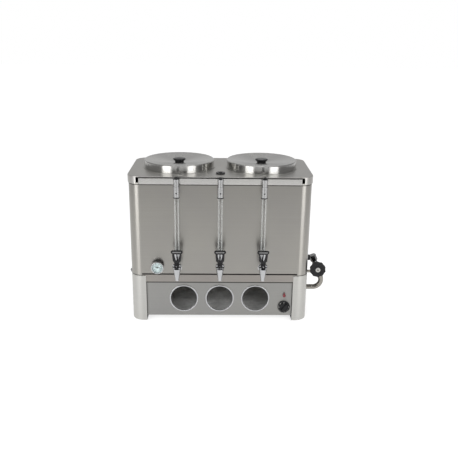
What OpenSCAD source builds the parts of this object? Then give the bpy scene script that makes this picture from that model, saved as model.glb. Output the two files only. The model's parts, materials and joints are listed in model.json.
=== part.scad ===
// Electric coffee urn: a water-jacketed boiler with two coffee pots, three lever taps with sight
// gauges, a dial thermometer, a thermostat and a filling valve on its side.
// Millimetres, +Z up, front towards -Y, origin at the middle of the footprint.

/* [Body] */
// Width of the boiler body
body_w = 580; // [560:1:660]
// Depth of the boiler body
body_d = 292; // [284:1:340]
// Height of the boiler body, from the base to the top of the deck
body_h = 322; // [312:1:380]
// Outer radius of the body's upright corners
corner_r = 38; // [30:1:44]
// Thickness of the body, floor and panel sheet
sheet = 1.5; // [1:0.1:2]

/* [Top cover] */
// Thickness of the cover
cover_t = 2; // [1.5:0.1:3]
// Gap between the cover's flange and the body
cover_gap = 0.5; // [0.3:0.1:0.8]
// Height of the turned-down flange
flange_h = 24; // [20:1:30]
// Distance from the body's side to the end of the front rail
rail_inset = 36; // [34:1:44]
// Height of the front rail
rail_h = 19.5; // [18:0.5:22]
// Height by which the rail laps the body wall
rail_lap = 4; // [3:0.5:6]
// Depth of the lip at the top of the rail
rail_lip = 10; // [6:1:16]
// Width of the slot at each end of the rail
slot_w = 9; // [6:1:12]

/* [Pots and lids] */
// Outer diameter of a pot
pot_d = 220; // [200:1:226]
// Thickness of the pot and lid sheet
pot_t = 1.2; // [1:0.1:1.6]
// Distance of the pots behind the middle of the body
pot_y = 5; // [0:1:8]
// Height of the pot floor above the jacket floor
pot_clear = 12; // [8:1:14]
// Width of the pot flange that lies on the deck
pot_flange = 8; // [6:0.5:9]
// Height of the pot neck above its flange
neck_h = 8; // [5:1:12]
// Distance from the pot wall to the outside of the lid
lid_over = 5; // [3:0.5:6]
// Height of the lid's skirt
lid_h = 24.5; // [20:0.5:32]
// Depth of the lid's dished middle
dish_depth = 11; // [6:0.5:14]
// Width of the lid's flat rim
lid_rim = 6; // [4:0.5:10]
// Bevel at the lid's upper edge
lid_bevel = 2; // [1:0.5:3]
// Radius of the flat seat of the lid knob
seat_r = 20; // [18:1:26]
// Gap between the lid and the pot flange
lid_gap = 0.2; // [0.2:0.1:0.5]
// Diameter of the steam hole in a lid
steam_d = 5; // [3:0.5:7]
// Distance of the steam hole from the middle of its lid
steam_out = 33; // [28:1:60]
// Diameter of the top of a lid knob
knob_top_d = 42; // [36:1:46]
// Diameter of the foot of a lid knob
knob_foot_d = 29; // [24:1:34]
// Height of a lid knob
knob_h = 12.5; // [10:0.5:18]
// Diameter of the knob's stud through the lid
stud_d = 6; // [5:0.5:8]

/* [Filling cap] */
// Distance of the filling neck behind the front of the body
fill_in = 46; // [36:1:56]
// Outer diameter of the filling neck
fill_neck_d = 24; // [20:1:26]
// Height of the filling neck
fill_neck_h = 2; // [2:0.5:6]
// Wall of the filling neck and of its cap
fill_wall = 2; // [1.5:0.1:2.5]
// Gap between the filling neck and its cap
fill_gap = 0.4; // [0.3:0.1:0.6]
// Diameter of the cap's grip
fill_grip_d = 12; // [9:1:15]
// Height of the cap's grip
fill_grip_h = 2; // [2:0.5:8]

/* [Base] */
// Height of the base under the body
base_h = 168; // [166:1:190]
// Height of the shadow gap between the base and the body
shadow_h = 5; // [3:0.5:7]
// Depth of the shadow gap
shadow_in = 8; // [5:0.5:12]
// Height of the band above the panels
band_h = 25; // [20:1:28]
// Width of the ledge that carries the body
ledge_w = 22; // [18:1:30]
// Thickness of the base frame
frame_t = 2; // [1.5:0.1:3]
// Depth of the panels behind the band's face
panel_in = 8; // [6:0.5:10]
// Height of the panels above the surface
panel_lift = 15; // [14:1:24]
// Thickness of the legs
leg_t = 2; // [1.5:0.1:2.5]
// Distance from the base frame's top down to the top of the legs
leg_drop = 3.5; // [2:0.5:5]
// Gap between the legs and the base frame
leg_gap = 0.2; // [0.1:0.05:0.3]
// Width of the flat beside each leg's round corner
leg_flat = 12; // [8:1:16]
// Height of the foot pads
pad_h = 6; // [5:0.5:10]
// Height of the leg sheet above the surface
leg_lift = 1; // [0.5:0.1:2]
// Radius at the inner side of a foot pad
pad_in = 30; // [24:1:36]
// Diameter of the round openings in the front panel
vent_d = 86; // [70:1:88]
// Distance between neighbouring round openings
vent_pitch = 118; // [110:1:122]
// Distance of the round openings below the middle of the panel
vent_low = 0; // [0:0.5:4]
// Width of the rim around each opening
vent_rim = 4; // [3:0.5:5]
// Thickness of the rim around each opening
vent_rim_t = 2.5; // [1.5:0.1:4]

/* [Taps] */
// Distance between neighbouring taps, and of each pot from the middle
tap_pitch = 136; // [130:1:140]
// Height of the tap shanks above the jacket floor's underside
tap_up = 22; // [21:1:26]
// Distance from the body wall to the spout's axis
tap_reach = 45; // [44:1:52]
// Diameter of the tap shank
shank_d = 16; // [14:1:17]
// Bore of the tap's passages
tap_bore = 8; // [6:0.5:9]
// Length of shank inside the body
shank_tail = 26; // [22:1:30]
// Diameter of the rose at the wall
rose_d = 26; // [24:1:30]
// Thickness of the rose at the wall
rose_t = 3; // [2:0.5:4]
// Height of the spout below the shank's axis
spout_drop = 27; // [26:1:32]
// Height of the tap barrel above the shank's axis
barrel_up = 6; // [5:0.5:7]
// Diameter of the spout's tip
tip_d = 12.4; // [11.5:0.1:13]
// Length of the spout's straight tip
tip_l = 6; // [4:0.5:8]
// Diameter of the tap barrel
barrel_d = 22.6; // [22:0.1:24]
// Diameter of the plunger's chamber
chamber_d = 13; // [12.6:0.1:13.4]
// Depth of the plunger's seat below the shank's axis
seat_drop = 14; // [12:0.5:15]
// Diameter of the bonnet at its top
bonnet_d = 28.6; // [27:0.1:28.8]
// Height of the bonnet up to the slot for the lever's hub
bonnet_h = 7; // [6:0.5:8]
// Height of the lever's pivot above that slot's floor
pivot_up = 11; // [10.8:0.1:12]
// Diameter of the pivot pin
pin_d = 4; // [3.5:0.1:4.5]
// Running clearance of pins and stems, on the radius
run_gap = 0.05; // [0.03:0.01:0.08]
// Thickness of the bonnet's ears
ear_t = 3.4; // [3:0.1:4]
// Gap between the lever's hub and each ear
ear_gap = 0.4; // [0.3:0.1:0.6]
// Width of the lever's hub
hub_w = 15; // [13:0.5:15]
// Radius of the lever's hub
hub_r = 9.5; // [9:0.1:9.8]
// Gap between the plunger's stem and the slot in the hub
slot_gap = 0.5; // [0.4:0.1:1]
// Thickness of the lever's frame
lever_t = 9; // [7:0.5:11]
// Height of the lever's grip bar above its pivot
grip_up = 44.5; // [40:0.5:50]
// Length of the grip bar
grip_w = 38; // [34:1:42]
// Diameter of the grip bar
grip_d = 11.6; // [10:0.2:13]
// Diameter of the plunger's stem
stem_d = 4.5; // [4:0.5:5.5]
// Lift of the plunger at full pull
plunger_lift = 3.5; // [2.5:0.1:3.6]
// Diameter of the plunger's seal
seal_d = 11.6; // [10.8:0.1:12]
// Height of the plunger's seal
seal_h = 5; // [4:0.5:6]
// Wire of the return spring
spring_wire = 1; // [0.8:0.1:1.2]
// Turns of the return spring
spring_turns = 5; // [4:1:6]

/* [Sight gauges] */
// Distance from the body wall to the gauge's axis
gauge_reach = 19; // [18.5:0.5:19.4]
// Outer diameter of the glass
glass_d = 16; // [14:0.5:16]
// Wall of the glass
glass_t = 2; // [1.5:0.1:2.5]
// Gap around the glass in its fittings
glass_gap = 0.3; // [0.2:0.1:0.4]
// Height of the tap's gauge boss above the shank's axis
boss_up = 48; // [44:1:52]
// Diameter of the gauge boss
boss_d = 20; // [19:0.2:20.4]
// Depth of the glass in the boss
glass_seat = 14; // [10:1:18]
// Height of the lower gland nut
gland_h = 16; // [12:1:18]
// Distance from the deck down to the lower end of the top holder
holder_drop = 62; // [56:1:70]
// Diameter of the top holder
holder_d = 20.6; // [20:0.2:22]
// Depth of the glass in the top holder
holder_seat = 20; // [16:1:24]
// Diameter of the holder's neck in front of the rail
holder_neck_d = 18; // [12:0.5:19]
// Diameter of the holder's stub through the rail
stub_d = 10; // [8:0.5:12]
// Diameter of the vent plug
plug_d = 8; // [6:0.5:10]
// Height of the vent plug below the deck
plug_h = 6; // [4:0.5:8]
// Height of the vent plug above the deck
plug_up = 3.5; // [2:0.5:5]

/* [Thermometer] */
// Distance of the thermometer from the body's left side
thermo_side = 89; // [84:1:94]
// Height of the thermometer above the jacket floor's underside
thermo_up = 26; // [25:0.5:30]
// Outer diameter of the thermometer's case
thermo_d = 40; // [36:1:42]
// Depth of the thermometer's case
thermo_t = 12; // [10:0.5:14]
// Length of the hexagon between the case and the wall
thermo_hex = 9; // [7:0.5:12]
// Width of the bezel
bezel_w = 2.5; // [2:0.1:3]
// Length of the probe inside the body
probe_l = 50; // [40:1:56]
// Angle of the pointer at rest, clockwise from the top
pointer_rest = 106; // [90:1:120]

/* [Controls] */
// Distance of the thermostat from the body's right side
control_side = 76; // [72:1:80]
// Height of the thermostat's axis above the lower edge of the panel
knob_up = 32; // [27:1:35]
// Diameter of the thermostat knob's skirt
dial_d = 41; // [36:1:42]
// Height of the thermostat knob's grip
dial_grip = 14; // [10:0.5:18]
// Height of the pilot lamp above the thermostat's axis
lamp_up = 40; // [33:0.5:42]
// Diameter of the pilot lamp's lens
lamp_d = 10.5; // [9:0.5:12]

/* [Heating] */
// Diameter of the heating elements
element_d = 9; // [7:0.5:10]
// Length of the lower heating element
element_l = 390; // [300:5:420]
// Distance between the two heating elements
element_step = 24; // [18:1:30]

/* [Filling valve] */
// Distance of the valve's axis from the body's right side
valve_out = 36; // [36:1:42]
// Distance of the valve in front of the middle of the body
valve_front = 60; // [50:1:66]
// Height of the valve's middle above the base
valve_up = 0; // [-4:1:2]
// Lean of the valve towards the body
valve_lean = 22; // [16:1:24]
// Diameter of the hand wheel
wheel_d = 53; // [44:1:56]
// Thickness of the hand wheel
wheel_t = 12; // [8:0.5:14]
// Diameter of the bent pipe
pipe_d = 17; // [12:0.2:18]
// Radius of the pipe's bend beside the base
pipe_bend = 26; // [24:1:34]
// Height of the pipe where it enters the base
pipe_z = 87; // [80:1:90]
// Distance of the water inlet from the body's right side
inlet_side = 75; // [72:1:84]
// Outer diameter of the inlet's thread
inlet_d = 20.9; // [18:0.1:22]
// Length of the inlet's thread behind the rear panel
inlet_l = 16; // [12:1:20]

/* [Cable gland] */
// Distance of the gland from the body's left side
gland_side = 90; // [80:1:110]
// Height of the gland
gland_z = 60; // [50:1:80]
// Bore of the gland
gland_bore = 9; // [7:0.5:11]

/* [Hidden] */
$fn = 64;
side_names = ["left", "center", "right"];
pair_names = ["left", "right"];
leg_names = ["front_left", "front_right", "rear_left", "rear_right"];
NODES = concat(
    ["body_shell", "tank_floor", "top_cover", "gauge_rail", "base_frame"],
    ["front_panel", "rear_panel", "side_panels", "base_pan"],
    [for (s = leg_names) str("leg_", s)],
    ["foot_pads", "vent_rims"],
    [for (p = ["pot_", "lid_", "lid_knob_"], s = pair_names) str(p, s)],
    ["fill_cap"],
    [for (p = ["tap_body_", "tap_lever_", "tap_plunger_", "tap_spring_"], s = side_names) str(p, s)],
    ["tap_bonnets", "tap_pins", "tap_lock_nuts"],
    [for (s = side_names) str("gauge_glass_", s)],
    ["gauge_holders", "gauge_gland_nuts", "gauge_plugs"],
    ["thermometer_case", "thermometer_dial", "thermometer_pointer", "thermometer_lens"],
    ["thermostat_body", "thermostat_knob", "pilot_lamp", "heating_elements"],
    ["valve_elbow", "valve_washer", "valve_body", "valve_piston", "valve_stem", "valve_wheel"],
    ["valve_pipe", "valve_stay", "cable_gland"]);
node = "all";

// Overrun of cutting shapes past the faces that they cut
cut = 1;
front_y = -body_d / 2;
rear_y = body_d / 2;
side_x = body_w / 2;
deck_z = base_h + body_h;
deck_under = deck_z - cover_t;
cover_out = cover_gap + cover_t;
flange_z = deck_z - flange_h;
rail_half = side_x - rail_inset;
window_half = rail_half + slot_w;
tap_xs = [-tap_pitch, 0, tap_pitch];
pot_xs = [-tap_pitch, tap_pitch];
tap_z = base_h + tap_up;

// Pots and lids
pot_r = pot_d / 2;
pot_z = base_h + sheet + pot_clear;
pot_top = deck_z + pot_t;
lid_r = pot_r + lid_over;
lid_z = pot_top + lid_gap;
lid_top = lid_z + lid_h;
dish_z = lid_top - dish_depth;
stud_head = 3;
// Lid knob: its waist, the sides of its head and the rounding of its top edge
waist_out = 0.8;
waist_up = 0.3 * knob_h;
head_low = 0.75 * knob_h;
head_high = 0.88 * knob_h;
head_edge = 2.5;
// Socket on the pot for the tap's shank, and how far it reaches into the pot's wall
socket_wall = 3;
socket_in = 4;

// Filling neck
fill_y = front_y + fill_in;
fill_r = fill_neck_d / 2;
fill_bore = fill_neck_d - 2 * fill_wall;

// Base
leg_arm = corner_r + leg_flat;
frame_out = -(leg_t + leg_gap);
band_top = base_h - shadow_h;
band_z = band_top - band_h;
panel_face = leg_t + leg_gap + panel_in;
panel_lap = 12;
panel_top = band_z + panel_lap;
panel_y = front_y + panel_face;
panel_half = side_x - corner_r;
side_panel_half = rear_y - corner_r;
vent_z = (panel_lift + band_z) / 2 - vent_low;
pad_gap = 0.2;
leg_top = band_top - leg_drop;
// Lower end of the body's corners, just above the legs
tab_gap = 0.6;
tab_z = leg_top + tab_gap;

// Taps
tap_y = front_y - tap_reach;
shank_r = shank_d / 2;
hole_gap = 0.3;
spout_z = tap_z - spout_drop;
barrel_z = tap_z + barrel_up;
seat_z = tap_z - seat_drop;
seat_gap = 0.2;
bonnet_top = barrel_z + bonnet_h;
pivot_z = bonnet_top + pivot_up;
ear_in = hub_w / 2 + ear_gap;
ear_out = ear_in + ear_t;
spigot_h = 2;
stem_gap = 1.5;
stem_top = pivot_z - pin_d / 2 - plunger_lift - stem_gap;
spring_gap = 0.3;
spring_z = seat_z + seat_gap + seal_h + spring_gap;
spring_top = barrel_z - spigot_h - spring_gap;
spigot_gap = 0.1;
ear_wall = 2.5;
// Height of the bonnet's cheeks beside the lever's hub
cheek_h = 7;
hub_slot = stem_d + 2 * slot_gap;
// Height of the slot's top above the pivot, clear of the stem at full pull
slot_up = 0.5;
pin_head_r = pin_d / 2 + 1.2;
pin_head_t = 2;
lock_nut_wall = 6;
// Lever frame: where it leaves the hub, its shoulders, its bars and its open middle
frame_foot = 4;
shoulder_up = hub_r + 4;
shoulder_half = hub_w / 2 + 1.5;
shoulder_out = 3.5;
shoulder_rise = 2;
frame_bar = grip_up - grip_d / 4;
frame_inset = 4.5;
frame_half = grip_w / 2 - frame_inset;
window_foot = shoulder_up + 1.5;
window_foot_half = 2.5;
window_side = 4.6;
window_top = 3;
spring_r = (chamber_d / 2 + stem_d / 2) / 2;
nut_h = 6;
socket_y = front_y + sheet + nut_h + 1;

// Gauges
gauge_y = front_y - gauge_reach;
boss_top = tap_z + boss_up;
glass_r = glass_d / 2;
glass_z = boss_top - glass_seat;
glass_end_gap = 1;
gland_top = boss_top + gland_h;
holder_z = deck_z - holder_drop;
glass_top = holder_z + holder_seat - glass_end_gap;
holder_neck_z = flange_z - 2;
holder_head_h = 4;
holder_head_r = holder_d / 2;
plug_rim = 1;
// Clear height behind the rail, between the body wall and the rail's lip, for the holder's nut
stub_room = rail_h - sheet - rail_lap;
stub_z = flange_z + rail_lap + stub_room / 2;
stub_nut_r = (stub_room - 1) / 2 / cos(30);
gland_wall = 3;
stub_nut_t = 5;

// Thermometer
thermo_x = -side_x + thermo_side;
thermo_z = base_h + thermo_up;
thermo_r = thermo_d / 2;
thermo_back = front_y - thermo_hex;
thermo_face = thermo_back - thermo_t;
lens_fit = 0.1;
dial_r = thermo_r - bezel_w - lens_fit;
dial_t = 0.8;
dial_floor = 3;
lens_t = 1.5;
lens_gap = 1;
pointer_t = 0.6;
pointer_gap = 0.6;
pointer_tail = 6;
pointer_short = 4;
pointer_foot_half = 1.2;
pointer_tip_half = 0.4;
pointer_hub_r = 2;
pivot_r = 1;
pivot_l = 0.4;
probe_d = 6;
probe_hex_wall = 5;

// Controls
control_x = side_x - control_side;
knob_z = panel_lift + knob_up;
lamp_z = knob_z + lamp_up;
spindle_r = 3;
spindle_l = 14;
dial_gap = 0.5;
dial_skirt = 4;
dial_step = 6;
grip_turn = 40;
grip_t = 8;
grip_short = 13;
thermostat_w = 38;
thermostat_d = 34;
thermostat_h = 34;
lamp_r = lamp_d / 2;
lamp_t = 5;
lamp_tail_r = lamp_r - 1;
lamp_tail_l = 24;
// Pointed top of the lamp, as shares of its radius
lamp_point = 2.4;
lamp_neck = 0.8;
lamp_neck_up = 0.6;

// Heating elements
element_r = element_d / 2;
element_bend = 14;
element_y = (pot_y + pot_r + rear_y - sheet) / 2;
element_z = tap_z + 2;
element_end = 14;

// Filling valve
valve_x = side_x + valve_out;
valve_y = -valve_front;
valve_z = base_h + valve_up;
flow_r = 6;
tube_r = 9;
tube_half = 24;
nut_r = 12;
nut_l = 8;
barrel_r = 10;
piston_r = 7;
piston_back = 6.5;
piston_front = 8;
piston_room = piston_back + hole_gap;
valve_bonnet_y = 24;
valve_bonnet_l = 10;
valve_travel = 12;
valve_stem_r = 3;
stem_in = 7;
wheel_gap = 4;
wheel_back = valve_bonnet_y + valve_bonnet_l + wheel_gap;
wheel_lobes = 10;
lobe_r = 7;
lobe_depth = 1.5;
wheel_disc_r = 8;
wheel_disc_t = 1.5;
elbow_l = 14;
branch_up = 28;
branch_r = 8;
collar_l = 7;
collar_r = branch_r + 3;
washer_t = 7;
washer_r = 9.5;
pipe_r = pipe_d / 2;
pipe_wall = 1.5;
pipe_bore_r = pipe_r - pipe_wall;
pipe_nut_l = 14;
pipe_nut_bore = 10;
// Way down the valve's leaning axis to the start of the pipe's bend, and the middle of that bend
pipe_lean_l = (valve_z - pipe_z - pipe_bend * (1 + sin(valve_lean))) / cos(valve_lean);
bend_x = round(10 * (valve_x + pipe_lean_l * sin(valve_lean) - pipe_bend * cos(valve_lean))) / 10;
// The pipe's leaning end is a sleeve over the end of the bend
sleeve_lap = 3;
sleeve_step = 0.5;
branch_z = valve_z + branch_up * cos(valve_lean);
inlet_x = side_x - inlet_side;
inlet_bend = 20;
rear_panel_y = rear_y - panel_face;
stay_z = band_z + 1.5;
stay_h = 9;
stay_t = 4;
stay_foot_w = 16;
stay_foot_t = 2;
stay_grip = 2;
stay_grip_h = 10;
stay_low = 23;

// Cable gland
gland_x = -side_x + gland_side;
gland_tube_wall = 3.5;
gland_r = gland_bore / 2 + gland_tube_wall;
gland_hex_r = gland_r + 3;
gland_in = 10;
gland_out = 10.5;
gland_nut_t = 5;
gland_head_t = 6;

steel = [0.66, 0.65, 0.63];
bright_steel = [0.8, 0.8, 0.79];
chrome = [0.85, 0.86, 0.88];
black = [0.05, 0.05, 0.055];

// Shapes used by several pieces

module round_rect(w, d, r) {
    square([w - 2 * r, d], center = true);
    square([w, d - 2 * r], center = true);
    for (sx = [-1, 1], sy = [-1, 1])
        translate([sx * (w / 2 - r), sy * (d / 2 - r)])
            circle(r);
}

// Solid on the body's outline, let out or taken in all round
module outline_block(out, z0, z1) {
    translate([0, 0, z0])
        linear_extrude(z1 - z0)
            round_rect(body_w + 2 * out, body_d + 2 * out, corner_r + out);
}

// Upright wall on the body's outline
module outline_wall(out, t, z0, z1) {
    difference() {
        outline_block(out, z0, z1);
        outline_block(out - t, z0 - cut, z1 + cut);
    }
}

// Round bar from a point towards the front
module front_bar(x, y, z, r, l, sides = 64) {
    translate([x, y, z])
        rotate([90, 0, 0])
            cylinder(r = r, h = l, $fn = sides);
}

// Round bar from a point towards the rear
module rear_bar(x, y, z, r, l, sides = 64) {
    translate([x, y, z])
        rotate([-90, 0, 0])
            cylinder(r = r, h = l, $fn = sides);
}

module post(x, y, z0, z1, r, sides = 64) {
    translate([x, y, z0])
        cylinder(r = r, h = z1 - z0, $fn = sides);
}

// Quarter-turn or part-turn of a tube, in the XZ plane, around a centre
module bend(c, r, tube, from, turn) {
    translate(c)
        rotate([90, 0, 0])
            rotate([0, 0, from])
                rotate_extrude(angle = turn)
                    translate([r, 0])
                        circle(tube);
}

module at_valve() {
    translate([valve_x, valve_y, valve_z])
        rotate([0, -valve_lean, 0])
            children();
}

// Body and cover

module body_shell() {
    color(steel)
        difference() {
            outline_wall(0, sheet, tab_z, deck_under);
            translate([-panel_half, front_y - cut, tab_z - cut])
                cube([2 * panel_half, body_d + 2 * cut, base_h - tab_z + cut]);
            translate([-side_x - cut, -side_panel_half, tab_z - cut])
                cube([body_w + 2 * cut, 2 * side_panel_half, base_h - tab_z + cut]);
            translate([-window_half, front_y - cut, flange_z + rail_lap])
                cube([2 * window_half, corner_r / 2, flange_h]);
            for (x = tap_xs)
                rear_bar(x, front_y - cut, tap_z, shank_r + hole_gap, sheet + 2 * cut);
            rear_bar(thermo_x, front_y - cut, thermo_z, probe_d / 2 + hole_gap, sheet + 2 * cut);
            translate([side_x - sheet - cut, valve_y, branch_z])
                rotate([0, 90, 0])
                    cylinder(r = branch_r + hole_gap, h = sheet + 2 * cut);
        }
}

module tank_floor() {
    color(steel)
        difference() {
            outline_block(-sheet, base_h, base_h + sheet);
            for (i = [0, 1], sx = [-1, 1])
                post(sx * element_half(i), element_y, base_h - cut, base_h + sheet + cut,
                    element_r + hole_gap);
        }
}

module top_cover() {
    color(steel)
        difference() {
            union() {
                outline_block(cover_out, deck_under, deck_z);
                outline_wall(cover_out, cover_t, flange_z, deck_z);
                post(0, fill_y, deck_under, deck_z + fill_neck_h, fill_r);
            }
            for (x = pot_xs)
                post(x, pot_y, deck_under - cut, deck_z + cut, pot_r + hole_gap);
            post(0, fill_y, deck_under - cut, deck_z + fill_neck_h + cut, fill_bore / 2);
            translate([-window_half, front_y - cover_out - cut, flange_z - cut])
                cube([2 * window_half, corner_r / 2, flange_h - cover_t + cut]);
        }
}

module gauge_rail() {
    color(bright_steel)
        difference() {
            union() {
                translate([-rail_half, front_y - cover_out, flange_z])
                    cube([2 * rail_half, cover_out, rail_h]);
                translate([-rail_half, front_y - cover_out, flange_z + rail_h - sheet])
                    cube([2 * rail_half, cover_out + rail_lip, sheet]);
            }
            for (x = tap_xs)
                rear_bar(x, front_y - cover_out - cut, stub_z, stub_d / 2 + hole_gap, cover_out + 2 * cut);
        }
}

// Pots, lids and filling cap

module pot(x) {
    color(bright_steel)
        difference() {
            union() {
                post(x, pot_y, pot_z, pot_top + neck_h, pot_r);
                post(x, pot_y, deck_z, pot_top, pot_r + pot_flange);
                rear_bar(x, socket_y, tap_z, shank_r + socket_wall, pot_y - pot_r + socket_in - socket_y);
            }
            post(x, pot_y, pot_z + pot_t, pot_top + neck_h + cut, pot_r - pot_t);
            rear_bar(x, front_y, tap_z, shank_r + hole_gap, shank_tail + 1);
            rear_bar(x, front_y, tap_z, tap_bore / 2, pot_y - front_y);
        }
}

module lid_profile() {
    rise = lid_r - lid_rim;
    polygon([
        [0, dish_z - pot_t], [seat_r, dish_z - pot_t], [rise, lid_top - pot_t],
        [lid_r - lid_bevel, lid_top - pot_t], [lid_r - pot_t, lid_top - lid_bevel], [lid_r - pot_t, lid_z],
        [lid_r, lid_z], [lid_r, lid_top - lid_bevel], [lid_r - lid_bevel, lid_top],
        [rise, lid_top], [seat_r, dish_z], [0, dish_z]]);
}

module lid(x, steam_angle) {
    color(bright_steel)
        translate([x, pot_y, 0])
            difference() {
                rotate_extrude($fn = 128)
                    lid_profile();
                post(0, 0, dish_z - 2 * pot_t, dish_z + cut, stud_d / 2 + hole_gap);
                rotate([0, 0, steam_angle])
                    post(steam_out, 0, dish_z - 2 * pot_t, lid_top, steam_d / 2);
            }
}

module lid_knob(x) {
    color(black)
        translate([x, pot_y, dish_z])
            rotate_extrude()
                polygon([
                    [0, -pot_t - stud_head], [stud_d, -pot_t - stud_head],
                    [stud_d, -pot_t], [stud_d / 2, -pot_t],
                    [stud_d / 2, 0], [knob_foot_d / 2, 0],
                    [knob_foot_d / 2 + waist_out, waist_up],
                    [knob_top_d / 2, head_low], [knob_top_d / 2, head_high],
                    [knob_top_d / 2 - head_edge, knob_h], [0, knob_h]]);
}

module fill_cap() {
    cap_in = fill_r + fill_gap;
    cap_out = cap_in + fill_wall;
    cap_z = deck_z + fill_gap;
    cap_top = deck_z + fill_neck_h + fill_gap + fill_wall;
    color(black)
        difference() {
            union() {
                post(0, fill_y, cap_z, cap_top, cap_out);
                post(0, fill_y, cap_top, cap_top + fill_grip_h, fill_grip_d / 2);
            }
            post(0, fill_y, cap_z - cut, cap_top - fill_wall, cap_in);
        }
}

// Base

module base_frame() {
    color(steel)
        difference() {
            union() {
                outline_wall(frame_out, frame_t, band_z, band_top);
                outline_wall(frame_out, panel_in, band_z, band_z + frame_t);
                outline_wall(frame_out, ledge_w, band_top - frame_t, band_top);
                outline_wall(-shadow_in, ledge_w + frame_out + shadow_in, band_top - frame_t, base_h);
            }
            for (i = [0, 1], sx = [-1, 1])
                post(sx * element_half(i), element_y, band_top - frame_t - cut, base_h + cut,
                    element_r + hole_gap);
        }
}

// Upright plate with its outer face on the panel plane, turned to face one side
module panel_plate(half, turn, face) {
    rotate([0, 0, turn])
        translate([-half, face, panel_lift])
            cube([2 * half, sheet, panel_top - panel_lift]);
}

module front_panel() {
    color(steel)
        difference() {
            panel_plate(panel_half, 0, panel_y);
            for (i = [-1:1])
                rear_bar(i * vent_pitch, panel_y - cut, vent_z, vent_d / 2, sheet + 2 * cut);
            rear_bar(control_x, panel_y - cut, knob_z, spindle_r + hole_gap, sheet + 2 * cut);
            rear_bar(control_x, panel_y - cut, lamp_z, lamp_tail_r + hole_gap, sheet + 2 * cut);
        }
}

module rear_panel() {
    color(steel)
        difference() {
            panel_plate(panel_half, 180, panel_y);
            rear_bar(gland_x, rear_panel_y - sheet - cut, gland_z, gland_r + hole_gap, sheet + 2 * cut);
            rear_bar(inlet_x, rear_panel_y - sheet - cut, pipe_z, pipe_r + hole_gap, sheet + 2 * cut);
        }
}

module side_panels() {
    color(steel)
        difference() {
            for (turn = [-90, 90])
                panel_plate(side_panel_half, turn, -side_x + panel_face);
            translate([0, valve_y, pipe_z])
                rotate([0, 90, 0])
                    cylinder(r = pipe_r + hole_gap, h = side_x);
        }
}

// Floor of the base, inside the four panels
module base_pan() {
    inside = panel_face + sheet;
    color(steel)
        translate([0, 0, panel_lift])
            linear_extrude(sheet)
                union() {
                    square([2 * panel_half, body_d - 2 * inside], center = true);
                    square([body_w - 2 * inside, 2 * side_panel_half], center = true);
                }
}

module corner_column(sx, sy, arm, z0, z1) {
    translate([sx * (side_x - arm / 2), sy * (rear_y - arm / 2), (z0 + z1) / 2])
        cube([arm, arm, z1 - z0], center = true);
}

module leg(sx, sy) {
    color(bright_steel)
        intersection() {
            outline_wall(0, leg_t, leg_lift, leg_top);
            corner_column(sx, sy, leg_arm, 0, base_h);
        }
}

module foot_pads() {
    color(black)
        for (sx = [-1, 1], sy = [-1, 1])
            intersection() {
                outline_block(-leg_t - pad_gap, 0, pad_h);
                corner_column(sx, sy, leg_arm, -cut, pad_h + cut);
                translate([sx * (side_x - corner_r), sy * (rear_y - corner_r), -cut])
                    cylinder(r = pad_in + leg_flat, h = pad_h + 2 * cut);
            }
}

module vent_rims() {
    color(chrome)
        for (i = [-1:1])
            difference() {
                front_bar(i * vent_pitch, panel_y, vent_z, vent_d / 2 + vent_rim, vent_rim_t);
                front_bar(i * vent_pitch, panel_y + cut, vent_z, vent_d / 2, vent_rim_t + 2 * cut);
            }
}

// Taps

module tap_body(x) {
    color(chrome)
        difference() {
            union() {
                post(x, tap_y, spout_z, spout_z + tip_l, tip_d / 2);
                translate([x, tap_y, spout_z + tip_l])
                    cylinder(r1 = tip_d / 2, r2 = barrel_d / 2, h = barrel_z - spout_z - tip_l);
                front_bar(x, front_y, tap_z, shank_r + 1, tap_reach);
                front_bar(x, front_y, tap_z, rose_d / 2, rose_t);
                rear_bar(x, front_y, tap_z, shank_r, shank_tail);
                post(x, gauge_y, tap_z, boss_top, boss_d / 2);
            }
            post(x, tap_y, spout_z - cut, barrel_z, tap_bore / 2);
            post(x, tap_y, barrel_z, tap_z + shank_d, bonnet_d / 2 + hole_gap);
            post(x, tap_y, seat_z, barrel_z + cut, chamber_d / 2);
            rear_bar(x, tap_y, tap_z, tap_bore / 2, tap_reach + shank_tail + cut);
            post(x, gauge_y, tap_z, boss_top, tap_bore / 2);
            post(x, gauge_y, glass_z - glass_end_gap, boss_top + cut, glass_r + glass_gap);
        }
}

module tap_bonnets() {
    color(chrome)
        for (x = tap_xs)
            difference() {
                union() {
                    bonnet_cup(x);
                    post(x, tap_y, barrel_z - spigot_h, barrel_z, chamber_d / 2 - spigot_gap);
                    for (sx = [-1, 1])
                        translate([x + sx * (ear_in + ear_out) / 2, tap_y, bonnet_top])
                            bonnet_ear();
                }
                post(x, tap_y, barrel_z - spigot_h - cut, bonnet_top + cut, stem_d / 2 + run_gap);
                translate([x - ear_out - cut, tap_y, pivot_z])
                    rotate([0, 90, 0])
                        cylinder(d = pin_d, h = 2 * (ear_out + cut));
            }
}

// Cup of the bonnet, slotted for the lever's hub
module bonnet_cup(x) {
    difference() {
        translate([x, tap_y, barrel_z])
            cylinder(r1 = barrel_d / 2, r2 = bonnet_d / 2, h = bonnet_h + cheek_h);
        translate([x - ear_in, tap_y - bonnet_d, bonnet_top])
            cube([2 * ear_in, 2 * bonnet_d, cheek_h + cut]);
    }
}

// Ear with a round top, standing in the bonnet's cup
module bonnet_ear() {
    ear_r = pin_d / 2 + ear_wall;
    translate([-ear_t / 2, -ear_r, -cut])
        cube([ear_t, 2 * ear_r, pivot_up + cut]);
    translate([-ear_t / 2, 0, pivot_up])
        rotate([0, 90, 0])
            cylinder(r = ear_r, h = ear_t);
}

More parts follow.
